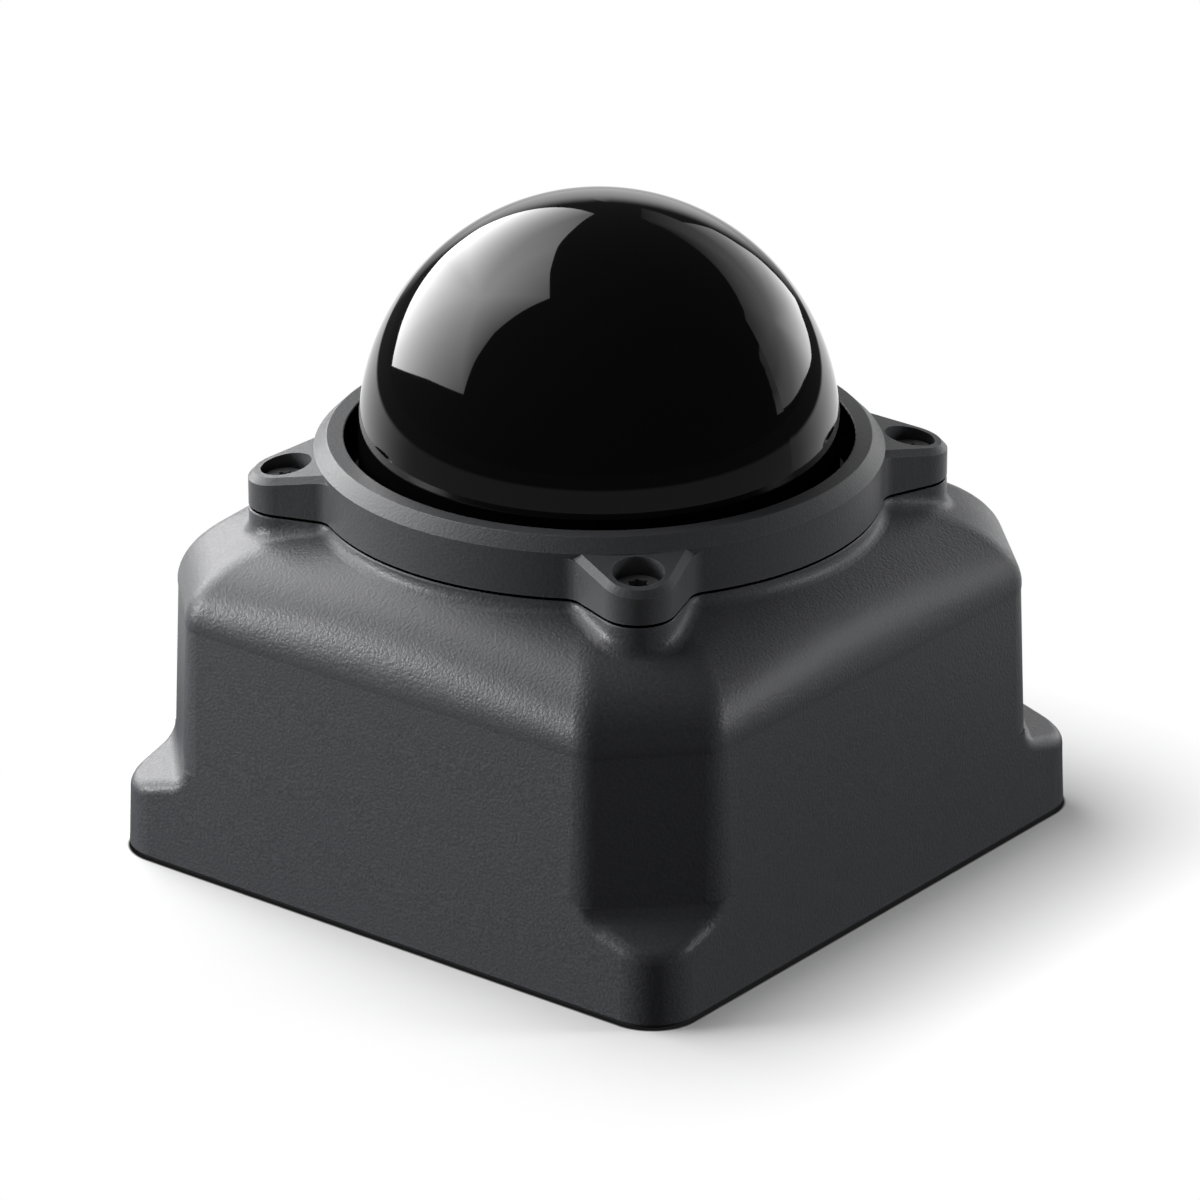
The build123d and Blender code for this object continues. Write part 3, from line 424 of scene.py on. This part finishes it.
def makePaintedJointShade():  # painted shade in a narrow joint and a bore, where shade falls: a mask between two heights, and inside a bore up to its top
    group, given, out = newGroup("jointShade", {"Low": 0.0, "High": 0.001, "Radius": 0.0, "Top": 0.0}, ("Mask",))
    height, radius = heightAndRadius(group, given["Vector"])
    over = floatMath(group, "GREATER_THAN", height, given["Low"])
    under = floatMath(group, "LESS_THAN", height, given["High"])
    inBore = floatMath(group, "LESS_THAN", radius, given["Radius"])
    belowTop = floatMath(group, "LESS_THAN", height, given["Top"])
    seam = floatMath(group, "MULTIPLY", over, under)
    bore = floatMath(group, "MULTIPLY", inBore, belowTop)
    group.links.new(floatMath(group, "MAXIMUM", seam, bore), out["Mask"])
    return group


def makeEdgeWearAndSheen():  # edges lighter: wear where a coat is thin or rubbed, and also a painted highlight along the edge
    group, given, out = newGroup("edgeWearAndSheen", {"Width": 0.0003, "Breakup": 900.0}, ("Mask",))
    edgeGain = 6.0
    bevel = group.nodes.new("ShaderNodeBevel")
    bevel.samples = 4
    group.links.new(given["Width"], bevel.inputs["Radius"])
    shape = group.nodes.new("ShaderNodeNewGeometry")
    match = group.nodes.new("ShaderNodeVectorMath")
    match.operation = "DOT_PRODUCT"
    group.links.new(bevel.outputs["Normal"], match.inputs[0])
    group.links.new(shape.outputs["Normal"], match.inputs[1])
    turned = floatMath(group, "SUBTRACT", 1.0, match.outputs["Value"])
    strong = floatMath(group, "MULTIPLY", turned, edgeGain)
    patchy = noise(group, given["Vector"], given["Breakup"])
    group.links.new(floatMath(group, "MULTIPLY", strong, patchy, clamp=True), out["Mask"])
    return group


def makeToolLines():  # fine lines that a tool or a brush leaves, drawn out along one axis by the mapping before
    group, given, out = newGroup("toolLines", {"Scale": 4000.0}, ("Height", "Mask"))
    lineGain, lineShift = 2.0, -0.5
    lines = noise(group, given["Vector"], given["Scale"], 3.0, 0.7)
    group.links.new(lines, out["Height"])
    group.links.new(floatMath(group, "MULTIPLY_ADD", lines, lineGain, lineShift, clamp=True), out["Mask"])
    return group


def makeTurnedRings():  # rings of a lathe tool round the mapped Z axis
    group, given, out = newGroup("turnedRings", {"Rings": 6000.0}, ("Height", "Mask"))
    unevenScale = 700.0
    up, radius = heightAndRadius(group, given["Vector"])
    phase = floatMath(group, "MULTIPLY", floatMath(group, "ADD", radius, up), given["Rings"])
    wave = floatMath(group, "SINE", phase)
    uneven = noise(group, given["Vector"], unevenScale)
    height = floatMath(group, "MULTIPLY", wave, uneven)
    group.links.new(height, out["Height"])
    group.links.new(floatMath(group, "MULTIPLY_ADD", height, 0.5, 0.5, clamp=True), out["Mask"])
    return group


sandGrain = makeSandGrain()
slowDrift = makeSlowDrift()
jointShade = makePaintedJointShade()
edgeWearAndSheen = makeEdgeWearAndSheen()
toolLines = makeToolLines()
turnedRings = makeTurnedRings()


# materials

class Finish:  # one material being put together
    def __init__(self, name, metallic, ior=1.5):
        self.material = bpy.data.materials.new(name)
        self.material.use_nodes = True
        self.tree = self.material.node_tree
        self.shader = self.tree.nodes["Principled BSDF"]
        self.shader.inputs["Metallic"].default_value = metallic
        self.shader.inputs["IOR"].default_value = ior
        self.place = self.tree.nodes.new("ShaderNodeTexCoord").outputs["Object"]

    def mapped(self, centre=(0, 0, 0), turn=(0, 0, 0), stretch=(1, 1, 1)):
        node = self.tree.nodes.new("ShaderNodeMapping")
        node.vector_type = "POINT"
        node.inputs["Rotation"].default_value = [radians(a) for a in turn]
        node.inputs["Location"].default_value = centre
        node.inputs["Scale"].default_value = stretch
        self.tree.links.new(self.place, node.inputs["Vector"])
        return node.outputs["Vector"]

    def effect(self, group, vector=None, **values):
        node = self.tree.nodes.new("ShaderNodeGroup")
        node.node_tree = group
        self.tree.links.new(vector or self.place, node.inputs["Vector"])
        for label, value in values.items():
            node.inputs[label].default_value = value
        return node.outputs

    def blendColour(self, mask, first, second):
        node = self.tree.nodes.new("ShaderNodeMix")
        node.data_type = "RGBA"
        self.tree.links.new(mask, node.inputs["Factor"])
        for socket, colour in ((node.inputs[6], first), (node.inputs[7], second)):
            feed(self.tree, socket, (*colour, 1) if isinstance(colour, tuple) else colour)
        return node.outputs[2]

    def colour(self, mask, first, second):
        self.tree.links.new(self.blendColour(mask, first, second), self.shader.inputs["Base Color"])

    def roughness(self, mask, low, high):
        node = self.tree.nodes.new("ShaderNodeMapRange")
        node.inputs["To Min"].default_value = low
        node.inputs["To Max"].default_value = high
        self.tree.links.new(mask, node.inputs["Value"])
        self.tree.links.new(node.outputs["Result"], self.shader.inputs["Roughness"])

    def bump(self, height, depth, strength=1.0):
        node = self.tree.nodes.new("ShaderNodeBump")
        node.inputs["Distance"].default_value = depth
        node.inputs["Strength"].default_value = strength
        self.tree.links.new(height, node.inputs["Height"])
        self.tree.links.new(node.outputs["Normal"], self.shader.inputs["Normal"])


def coatedMetal(name, look):
    finish = Finish(name, metallic=0.0, ior=look["ior"])
    grain = finish.effect(sandGrain, Scale=look["grainScale"], Peel=look["peel"])
    drift = finish.effect(slowDrift, Scale=look["driftScale"], Contrast=1.4)["Mask"]
    # lighter edges: wear together with a painted highlight along the rounds
    wearAndSheen = finish.effect(edgeWearAndSheen, Width=look["edgeMarkWidth"], Breakup=look["edgeMarkBreakup"])["Mask"]
    base = finish.blendColour(drift, look["dark"], look["light"])
    speckled = finish.blendColour(grain["Speckle"], base, look["fleck"])
    wornAndLit = finish.blendColour(wearAndSheen, speckled, look["wornAndLitEdge"])
    # painted shade: the joint and the bore turn near black and lose their specular, standing in for the shade that
    # falls there
    joint = finish.effect(jointShade, **look["jointAt"])["Mask"]
    finish.colour(joint, wornAndLit, look["joint"])
    specular = floatMath(finish.tree, "MULTIPLY_ADD", joint, -0.5, 0.5)  # no specular in the painted shade
    finish.tree.links.new(specular, finish.shader.inputs["Specular IOR Level"])
    finish.roughness(grain["Speckle"], look["glossiest"], look["dullest"])
    finish.bump(grain["Height"], look["grainDepth"])
    return finish.material


housingCoatLook = {
    "dark": (0.033, 0.034, 0.038), "light": (0.038, 0.039, 0.043), "fleck": (0.056, 0.057, 0.063),
    # the edge colour is wear together with a painted highlight
    "wornAndLitEdge": (0.055, 0.056, 0.060), "edgeMarkWidth": 0.0002, "edgeMarkBreakup": 1200.0, "driftScale": 55.0,
    # painted shade: the housing's top face under the ring's overhang turns near black
    "joint": (0.001, 0.001, 0.001), "jointAt": {"Low": 0.03359, "High": 0.0337, "Radius": 0.0, "Top": 0.0},
    "grainScale": 3700.0, "grainDepth": 0.000042, "peel": 0.12, "glossiest": 0.34, "dullest": 0.49, "ior": 1.5,
}
ringCoatLook = {
    "dark": (0.036, 0.037, 0.040), "light": (0.040, 0.041, 0.044), "fleck": (0.052, 0.053, 0.057),
    # the edge colour is wear together with a painted highlight along the ring's rounds
    "wornAndLitEdge": (0.11, 0.11, 0.115), "edgeMarkWidth": 0.00015, "edgeMarkBreakup": 1800.0, "driftScale": 70.0,
    # painted shade: the groove under the ring and its bore up to the top turn near black
    "joint": (0.001, 0.001, 0.001), "jointAt": {"Low": 0.0335, "High": 0.03391, "Radius": 0.0236, "Top": 0.0393},
    "grainScale": 3700.0, "grainDepth": 0.00003, "peel": 0.12, "glossiest": 0.38, "dullest": 0.50, "ior": 1.5,
}
housingCoat = coatedMetal("housingCoat", housingCoatLook)
ringCoat = coatedMetal("ringCoat", ringCoatLook)


def glossDome(name, look):
    finish = Finish(name, metallic=0.0, ior=look["ior"])
    drift = finish.effect(slowDrift, Scale=look["driftScale"], Contrast=1.2)["Mask"]
    finish.colour(drift, look["dark"], look["light"])
    finish.roughness(drift, look["glossiest"], look["dullest"])
    haze = noise(finish.tree, finish.place, look["waveScale"], 1.0)
    finish.bump(haze, look["waveDepth"], 0.3)
    return finish.material


domeLook = {
    "dark": (0.0035, 0.0035, 0.0040), "light": (0.0055, 0.0052, 0.0058), "driftScale": 45.0,
    "glossiest": 0.025, "dullest": 0.045, "waveScale": 90.0, "waveDepth": 0.000002, "ior": 1.5,
}
infraredDome = glossDome("infraredDome", domeLook)


# width and breakup of the edge wear and its painted highlight
metalWearAndSheen = {"Width": 0.00012, "Breakup": 1500.0}
mouldedWearAndSheen = {"Width": 0.00015, "Breakup": 1500.0}


def metal(name, look):
    finish = Finish(name, metallic=look.get("metallic", 1.0))
    vector = finish.mapped(**look.get("mapping", {}))
    if look["marks"] == "rings":
        marks = finish.effect(turnedRings, vector, Rings=look["markScale"])
    else:
        marks = finish.effect(toolLines, vector, Scale=look["markScale"])
    drift = finish.effect(slowDrift, Scale=look["driftScale"], Contrast=1.3)["Mask"]
    # lighter edges: wear together with a painted highlight
    wearAndSheen = finish.effect(edgeWearAndSheen, **metalWearAndSheen)["Mask"]
    base = finish.blendColour(drift, look["dark"], look["light"])
    finish.colour(wearAndSheen, base, look["wornAndLitEdge"])
    finish.roughness(marks["Mask"], look["glossiest"], look["dullest"])
    finish.bump(marks["Height"], look["markDepth"], 0.5)
    return finish.material


metalLooks = {
    "blackenedSteel": {
        "marks": "rings", "markScale": 9000.0, "markDepth": 0.000004, "driftScale": 300.0,
        "dark": (0.085, 0.085, 0.09), "light": (0.11, 0.11, 0.115), "wornAndLitEdge": (0.2, 0.2, 0.21),
        "glossiest": 0.34, "dullest": 0.48, "metallic": 0.35,
    },
    "blackPlate": {
        "marks": "lines", "markScale": 3500.0, "markDepth": 0.000006, "driftScale": 60.0,
        "mapping": {"stretch": (1, 0.03, 1)},
        "dark": (0.045, 0.045, 0.048), "light": (0.062, 0.062, 0.066), "wornAndLitEdge": (0.3, 0.3, 0.31),
        "glossiest": 0.38, "dullest": 0.5, "metallic": 0.6,
    },
    "nickelPlate": {
        "marks": "rings", "markScale": 8000.0, "markDepth": 0.000004, "driftScale": 200.0,
        "mapping": {"turn": (90, 0, 0), "centre": (0, 0.013, 0)},
        "dark": (0.50, 0.48, 0.44), "light": (0.62, 0.60, 0.56), "wornAndLitEdge": (0.72, 0.70, 0.66),
        "glossiest": 0.16, "dullest": 0.28,
    },
    "goldPlate": {
        "marks": "rings", "markScale": 12000.0, "markDepth": 0.000002, "driftScale": 500.0,
        "mapping": {"turn": (90, 0, 0)},
        "dark": (0.78, 0.54, 0.2), "light": (0.88, 0.66, 0.3), "wornAndLitEdge": (0.92, 0.74, 0.4),
        "glossiest": 0.12, "dullest": 0.22,
    },
    "milledAluminium": {
        "marks": "rings", "markScale": 7000.0, "markDepth": 0.000006, "driftScale": 90.0,
        "dark": (0.62, 0.62, 0.63), "light": (0.74, 0.74, 0.75), "wornAndLitEdge": (0.85, 0.85, 0.86),
        "glossiest": 0.24, "dullest": 0.4,
    },
    "plainSteel": {
        "marks": "rings", "markScale": 9500.0, "markDepth": 0.000004, "driftScale": 150.0,
        "dark": (0.42, 0.42, 0.43), "light": (0.55, 0.55, 0.56), "wornAndLitEdge": (0.68, 0.68, 0.69),
        "glossiest": 0.2, "dullest": 0.36,
    },
    "polishedSteel": {
        "marks": "lines", "markScale": 6000.0, "markDepth": 0.000001, "driftScale": 300.0,
        "dark": (0.66, 0.66, 0.67), "light": (0.76, 0.76, 0.77), "wornAndLitEdge": (0.82, 0.82, 0.83),
        "glossiest": 0.05, "dullest": 0.12,
    },
    "magnetNickel": {
        "marks": "lines", "markScale": 3000.0, "markDepth": 0.000003, "driftScale": 220.0,
        "dark": (0.44, 0.43, 0.41), "light": (0.54, 0.53, 0.51), "wornAndLitEdge": (0.3, 0.3, 0.3),
        "glossiest": 0.22, "dullest": 0.34,
    },
    "sinteredBronze": {
        "marks": "lines", "markScale": 5000.0, "markDepth": 0.000008, "driftScale": 400.0,
        "dark": (0.48, 0.31, 0.13), "light": (0.62, 0.43, 0.21), "wornAndLitEdge": (0.74, 0.56, 0.32),
        "glossiest": 0.34, "dullest": 0.5,
    },
    "ferriteBlock": {
        "marks": "lines", "markScale": 2600.0, "markDepth": 0.00001, "driftScale": 180.0,
        "dark": (0.05, 0.05, 0.055), "light": (0.085, 0.085, 0.09), "wornAndLitEdge": (0.14, 0.14, 0.145),
        "glossiest": 0.5, "dullest": 0.7, "metallic": 0.2,
    },
    "scannerMirror": {
        "marks": "lines", "markScale": 900.0, "markDepth": 0.0000002, "driftScale": 80.0,
        "dark": (0.88, 0.88, 0.88), "light": (0.92, 0.92, 0.92), "wornAndLitEdge": (0.7, 0.7, 0.7),
        "glossiest": 0.01, "dullest": 0.03,
    },
}
metals = {name: metal(name, look) for name, look in metalLooks.items()}


def woundCopper(name, look):
    finish = Finish(name, metallic=1.0)
    strands = finish.tree.nodes.new("ShaderNodeTexWave")
    strands.wave_type = "BANDS"
    strands.bands_direction = "Z"
    strands.inputs["Scale"].default_value = look["strandScale"]
    strands.inputs["Distortion"].default_value = look["wander"]
    strands.inputs["Detail"].default_value = 1.0
    finish.tree.links.new(finish.place, strands.inputs["Vector"])
    drift = finish.effect(slowDrift, Scale=350.0, Contrast=1.6)["Mask"]
    shaded = finish.blendColour(strands.outputs["Fac"], look["gap"], look["wire"])
    finish.colour(drift, shaded, look["varnish"])
    finish.roughness(strands.outputs["Fac"], look["dullest"], look["glossiest"])
    finish.bump(strands.outputs["Fac"], look["strandDepth"])
    return finish.material


copperLook = {
    "strandScale": 900.0, "wander": 0.6, "gap": (0.22, 0.09, 0.04), "wire": (0.74, 0.38, 0.2),
    "varnish": (0.60, 0.27, 0.12), "dullest": 0.5, "glossiest": 0.24, "strandDepth": 0.00006,
}
woundWire = woundCopper("woundWire", copperLook)


def mouldedPart(name, look):
    finish = Finish(name, metallic=0.0)
    grain = finish.effect(sandGrain, Scale=look["grainScale"], Peel=look["peel"])
    drift = finish.effect(slowDrift, Scale=look["driftScale"], Contrast=1.4)["Mask"]
    # lighter edges: wear together with a painted highlight
    wearAndSheen = finish.effect(edgeWearAndSheen, **mouldedWearAndSheen)["Mask"]
    base = finish.blendColour(drift, look["dark"], look["light"])
    finish.colour(wearAndSheen, base, look["wornAndLitEdge"])
    finish.roughness(grain["Speckle"], look["glossiest"], look["dullest"])
    finish.bump(grain["Height"], look["grainDepth"])
    return finish.material


mouldedLooks = {
    "sealRubber": {
        "dark": (0.012, 0.012, 0.012), "light": (0.022, 0.022, 0.022), "wornAndLitEdge": (0.04, 0.04, 0.04),
        "driftScale": 200.0, "grainScale": 4000.0, "grainDepth": 0.00001, "peel": 0.3,
        "glossiest": 0.6, "dullest": 0.8,
    },
    "blackInsulator": {
        "dark": (0.015, 0.015, 0.016), "light": (0.024, 0.024, 0.026), "wornAndLitEdge": (0.05, 0.05, 0.052),
        "driftScale": 250.0, "grainScale": 5200.0, "grainDepth": 0.000006, "peel": 0.4,
        "glossiest": 0.34, "dullest": 0.5,
    },
    "chipEpoxy": {
        "dark": (0.022, 0.022, 0.023), "light": (0.034, 0.034, 0.036), "wornAndLitEdge": (0.07, 0.07, 0.07),
        "driftScale": 300.0, "grainScale": 6500.0, "grainDepth": 0.000005, "peel": 0.2,
        "glossiest": 0.45, "dullest": 0.6,
    },
    "thermalPad": {
        "dark": (0.36, 0.41, 0.46), "light": (0.44, 0.49, 0.54), "wornAndLitEdge": (0.55, 0.6, 0.64),
        "driftScale": 180.0, "grainScale": 2500.0, "grainDepth": 0.00002, "peel": 0.6,
        "glossiest": 0.6, "dullest": 0.8,
    },
}
moulded = {name: mouldedPart(name, look) for name, look in mouldedLooks.items()}


def solderMask(name, look):
    finish = Finish(name, metallic=0.0)
    weave = finish.tree.nodes.new("ShaderNodeTexBrick")
    weave.offset = 0.5
    weave.inputs["Scale"].default_value = look["weaveScale"]
    weave.inputs["Mortar Size"].default_value = 0.035
    weave.inputs["Mortar Smooth"].default_value = 0.3
    weave.inputs["Color1"].default_value = (0.0, 0.0, 0.0, 1)
    weave.inputs["Color2"].default_value = (0.25, 0.25, 0.25, 1)
    weave.inputs["Mortar"].default_value = (1, 1, 1, 1)
    finish.tree.links.new(finish.mapped(turn=(0, 0, 45)), weave.inputs["Vector"])
    drift = finish.effect(slowDrift, Scale=90.0, Contrast=1.5)["Mask"]
    base = finish.blendColour(drift, look["dark"], look["light"])
    finish.colour(weave.outputs["Fac"], base, look["track"])
    finish.roughness(drift, look["glossiest"], look["dullest"])
    finish.bump(weave.outputs["Fac"], look["trackDepth"], 0.6)
    return finish.material


boardLook = {
    "dark": (0.012, 0.075, 0.04), "light": (0.018, 0.10, 0.055), "track": (0.03, 0.16, 0.085),
    "weaveScale": 520.0, "trackDepth": 0.00003, "glossiest": 0.24, "dullest": 0.36,
}
boardMask = solderMask("boardMask", boardLook)


def coatedLens(name, look):
    finish = Finish(name, metallic=0.0, ior=look["ior"])
    drift = finish.effect(slowDrift, Scale=120.0, Contrast=1.2)["Mask"]
    finish.colour(drift, look["tint"], look["tintEdge"])
    finish.roughness(drift, look["glossiest"], look["dullest"])
    finish.shader.inputs["Transmission Weight"].default_value = look["clear"]
    return finish.material


lensLook = {
    "ior": 1.6, "tint": (0.62, 0.72, 0.86), "tintEdge": (0.52, 0.62, 0.82), "clear": 0.85,
    "glossiest": 0.01, "dullest": 0.03,
}
lensGlass = coatedLens("lensGlass", lensLook)
print("materials made:", len(bpy.data.materials))

finishOfSlot = {
    "housing_coat": housingCoat, "ring_coat": ringCoat, "dark_steel": metals["blackenedSteel"],
    "infrared_dome": infraredDome, "seal_rubber": moulded["sealRubber"], "plate_metal": metals["blackPlate"],
    "nickel": metals["nickelPlate"], "black_plastic": moulded["blackInsulator"], "gold": metals["goldPlate"],
    "board": boardMask, "chip": moulded["chipEpoxy"], "pad": moulded["thermalPad"], "copper": woundWire,
    "ferrite": metals["ferriteBlock"], "bare_aluminium": metals["milledAluminium"], "steel": metals["plainSteel"],
    "bright_steel": metals["polishedSteel"], "magnet": metals["magnetNickel"], "bronze": metals["sinteredBronze"],
    "lens_glass": lensGlass, "mirror_face": metals["scannerMirror"],
}


def dressNodes():
    slotOf = {part["node"]: part["material_slot"] for part in frame["record"]["subparts"]}
    for name, node in nodes.items():
        for socket in node.material_slots:
            socket.material = finishOfSlot[slotOf[name]]


dressNodes()
print("nodes dressed")


# threads, which the solids leave plain

def helix(name, settings):  # a ridge wound up the Z axis from a small diamond
    deselectAll()
    bpy.ops.mesh.primitive_circle_add(
        vertices=4, radius=settings["ridge"], location=(settings["radius"], 0, 0), rotation=(radians(90), 0, 0)
    )
    thread = named(name)
    placeInMesh(thread)
    bpy.ops.object.mode_set(mode="EDIT")
    bpy.ops.mesh.select_all(action="SELECT")
    bpy.ops.transform.resize(value=(1, 1, settings["widen"]), center_override=(settings["radius"], 0, 0))
    bpy.ops.object.mode_set(mode="OBJECT")
    winding = thread.modifiers.new("winding", "SCREW")
    winding.axis = "Z"
    winding.screw_offset = settings["pitch"]
    winding.iterations = settings["turns"]
    winding.steps = settings["steps"]
    winding.render_steps = settings["steps"]
    winding.use_merge_vertices = True
    winding.merge_threshold = 0.000001
    applyModifier(thread, winding)
    bpy.ops.object.mode_set(mode="EDIT")
    bpy.ops.mesh.select_all(action="DESELECT")
    bpy.ops.mesh.select_mode(type="EDGE")
    bpy.ops.mesh.select_non_manifold(extend=False, use_wire=False, use_multi_face=False, use_verts=False)
    bpy.ops.mesh.fill_holes(sides=4)
    bpy.ops.mesh.select_all(action="SELECT")
    bpy.ops.mesh.normals_make_consistent(inside=False)
    bpy.ops.object.mode_set(mode="OBJECT")
    return thread


def moveMesh(piece, turn, shift):
    bpy.context.view_layer.objects.active = piece
    bpy.ops.object.mode_set(mode="EDIT")
    bpy.ops.mesh.select_all(action="SELECT")
    if turn:
        bpy.ops.transform.rotate(value=radians(turn), orient_axis="X", center_override=(0, 0, 0))
    bpy.ops.transform.translate(value=shift)
    bpy.ops.object.mode_set(mode="OBJECT")


plugThreadSettings = {
    "radius": 0.00592, "ridge": 0.00022, "widen": 1.9, "pitch": 0.001, "turns": 7, "steps": 48,
    "startY": 0.0342, "height": 0.013,
}


def cutPlugThread(settings):
    thread = helix("receptacle_thread_ridge", settings)
    moveMesh(thread, 90, (0, 0, 0))
    nose = max(point.co.y for point in thread.data.vertices)
    start = min(point.co.y for point in thread.data.vertices)
    moveMesh(thread, 0, (0, settings["startY"] - start, settings["height"]))
    print("plug thread length", round((nose - start) * 1000, 2), "mm")
    thread.data.materials.append(metals["nickelPlate"])
    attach(thread, "base")


cutPlugThread(plugThreadSettings)

mountThreadSettings = {
    "radius": 0.00152, "ridge": 0.00014, "widen": 1.5, "pitch": 0.0005, "turns": 7, "steps": 24,
    "half": 0.020, "startZ": 0.0004,
}


def cutMountThreads(settings):
    first = helix("mounting_thread_ridge_1", settings)
    first.data.materials.append(metals["blackPlate"])
    low = min(point.co.z for point in first.data.vertices)
    places = [(x, y) for x in (-1, 1) for y in (-1, 1)]
    for count, (x, y) in enumerate(places, 1):
        thread = first
        if count < len(places):
            thread = first.copy()
            thread.data = first.data.copy()
            bpy.context.collection.objects.link(thread)
            thread.name = "mounting_thread_ridge_" + str(count + 1)
        deselectAll()
        thread.select_set(True)
        moveMesh(thread, 0, (x * settings["half"], y * settings["half"], settings["startZ"] - low))
        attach(thread, "base")


cutMountThreads(mountThreadSettings)
print("threads cut")
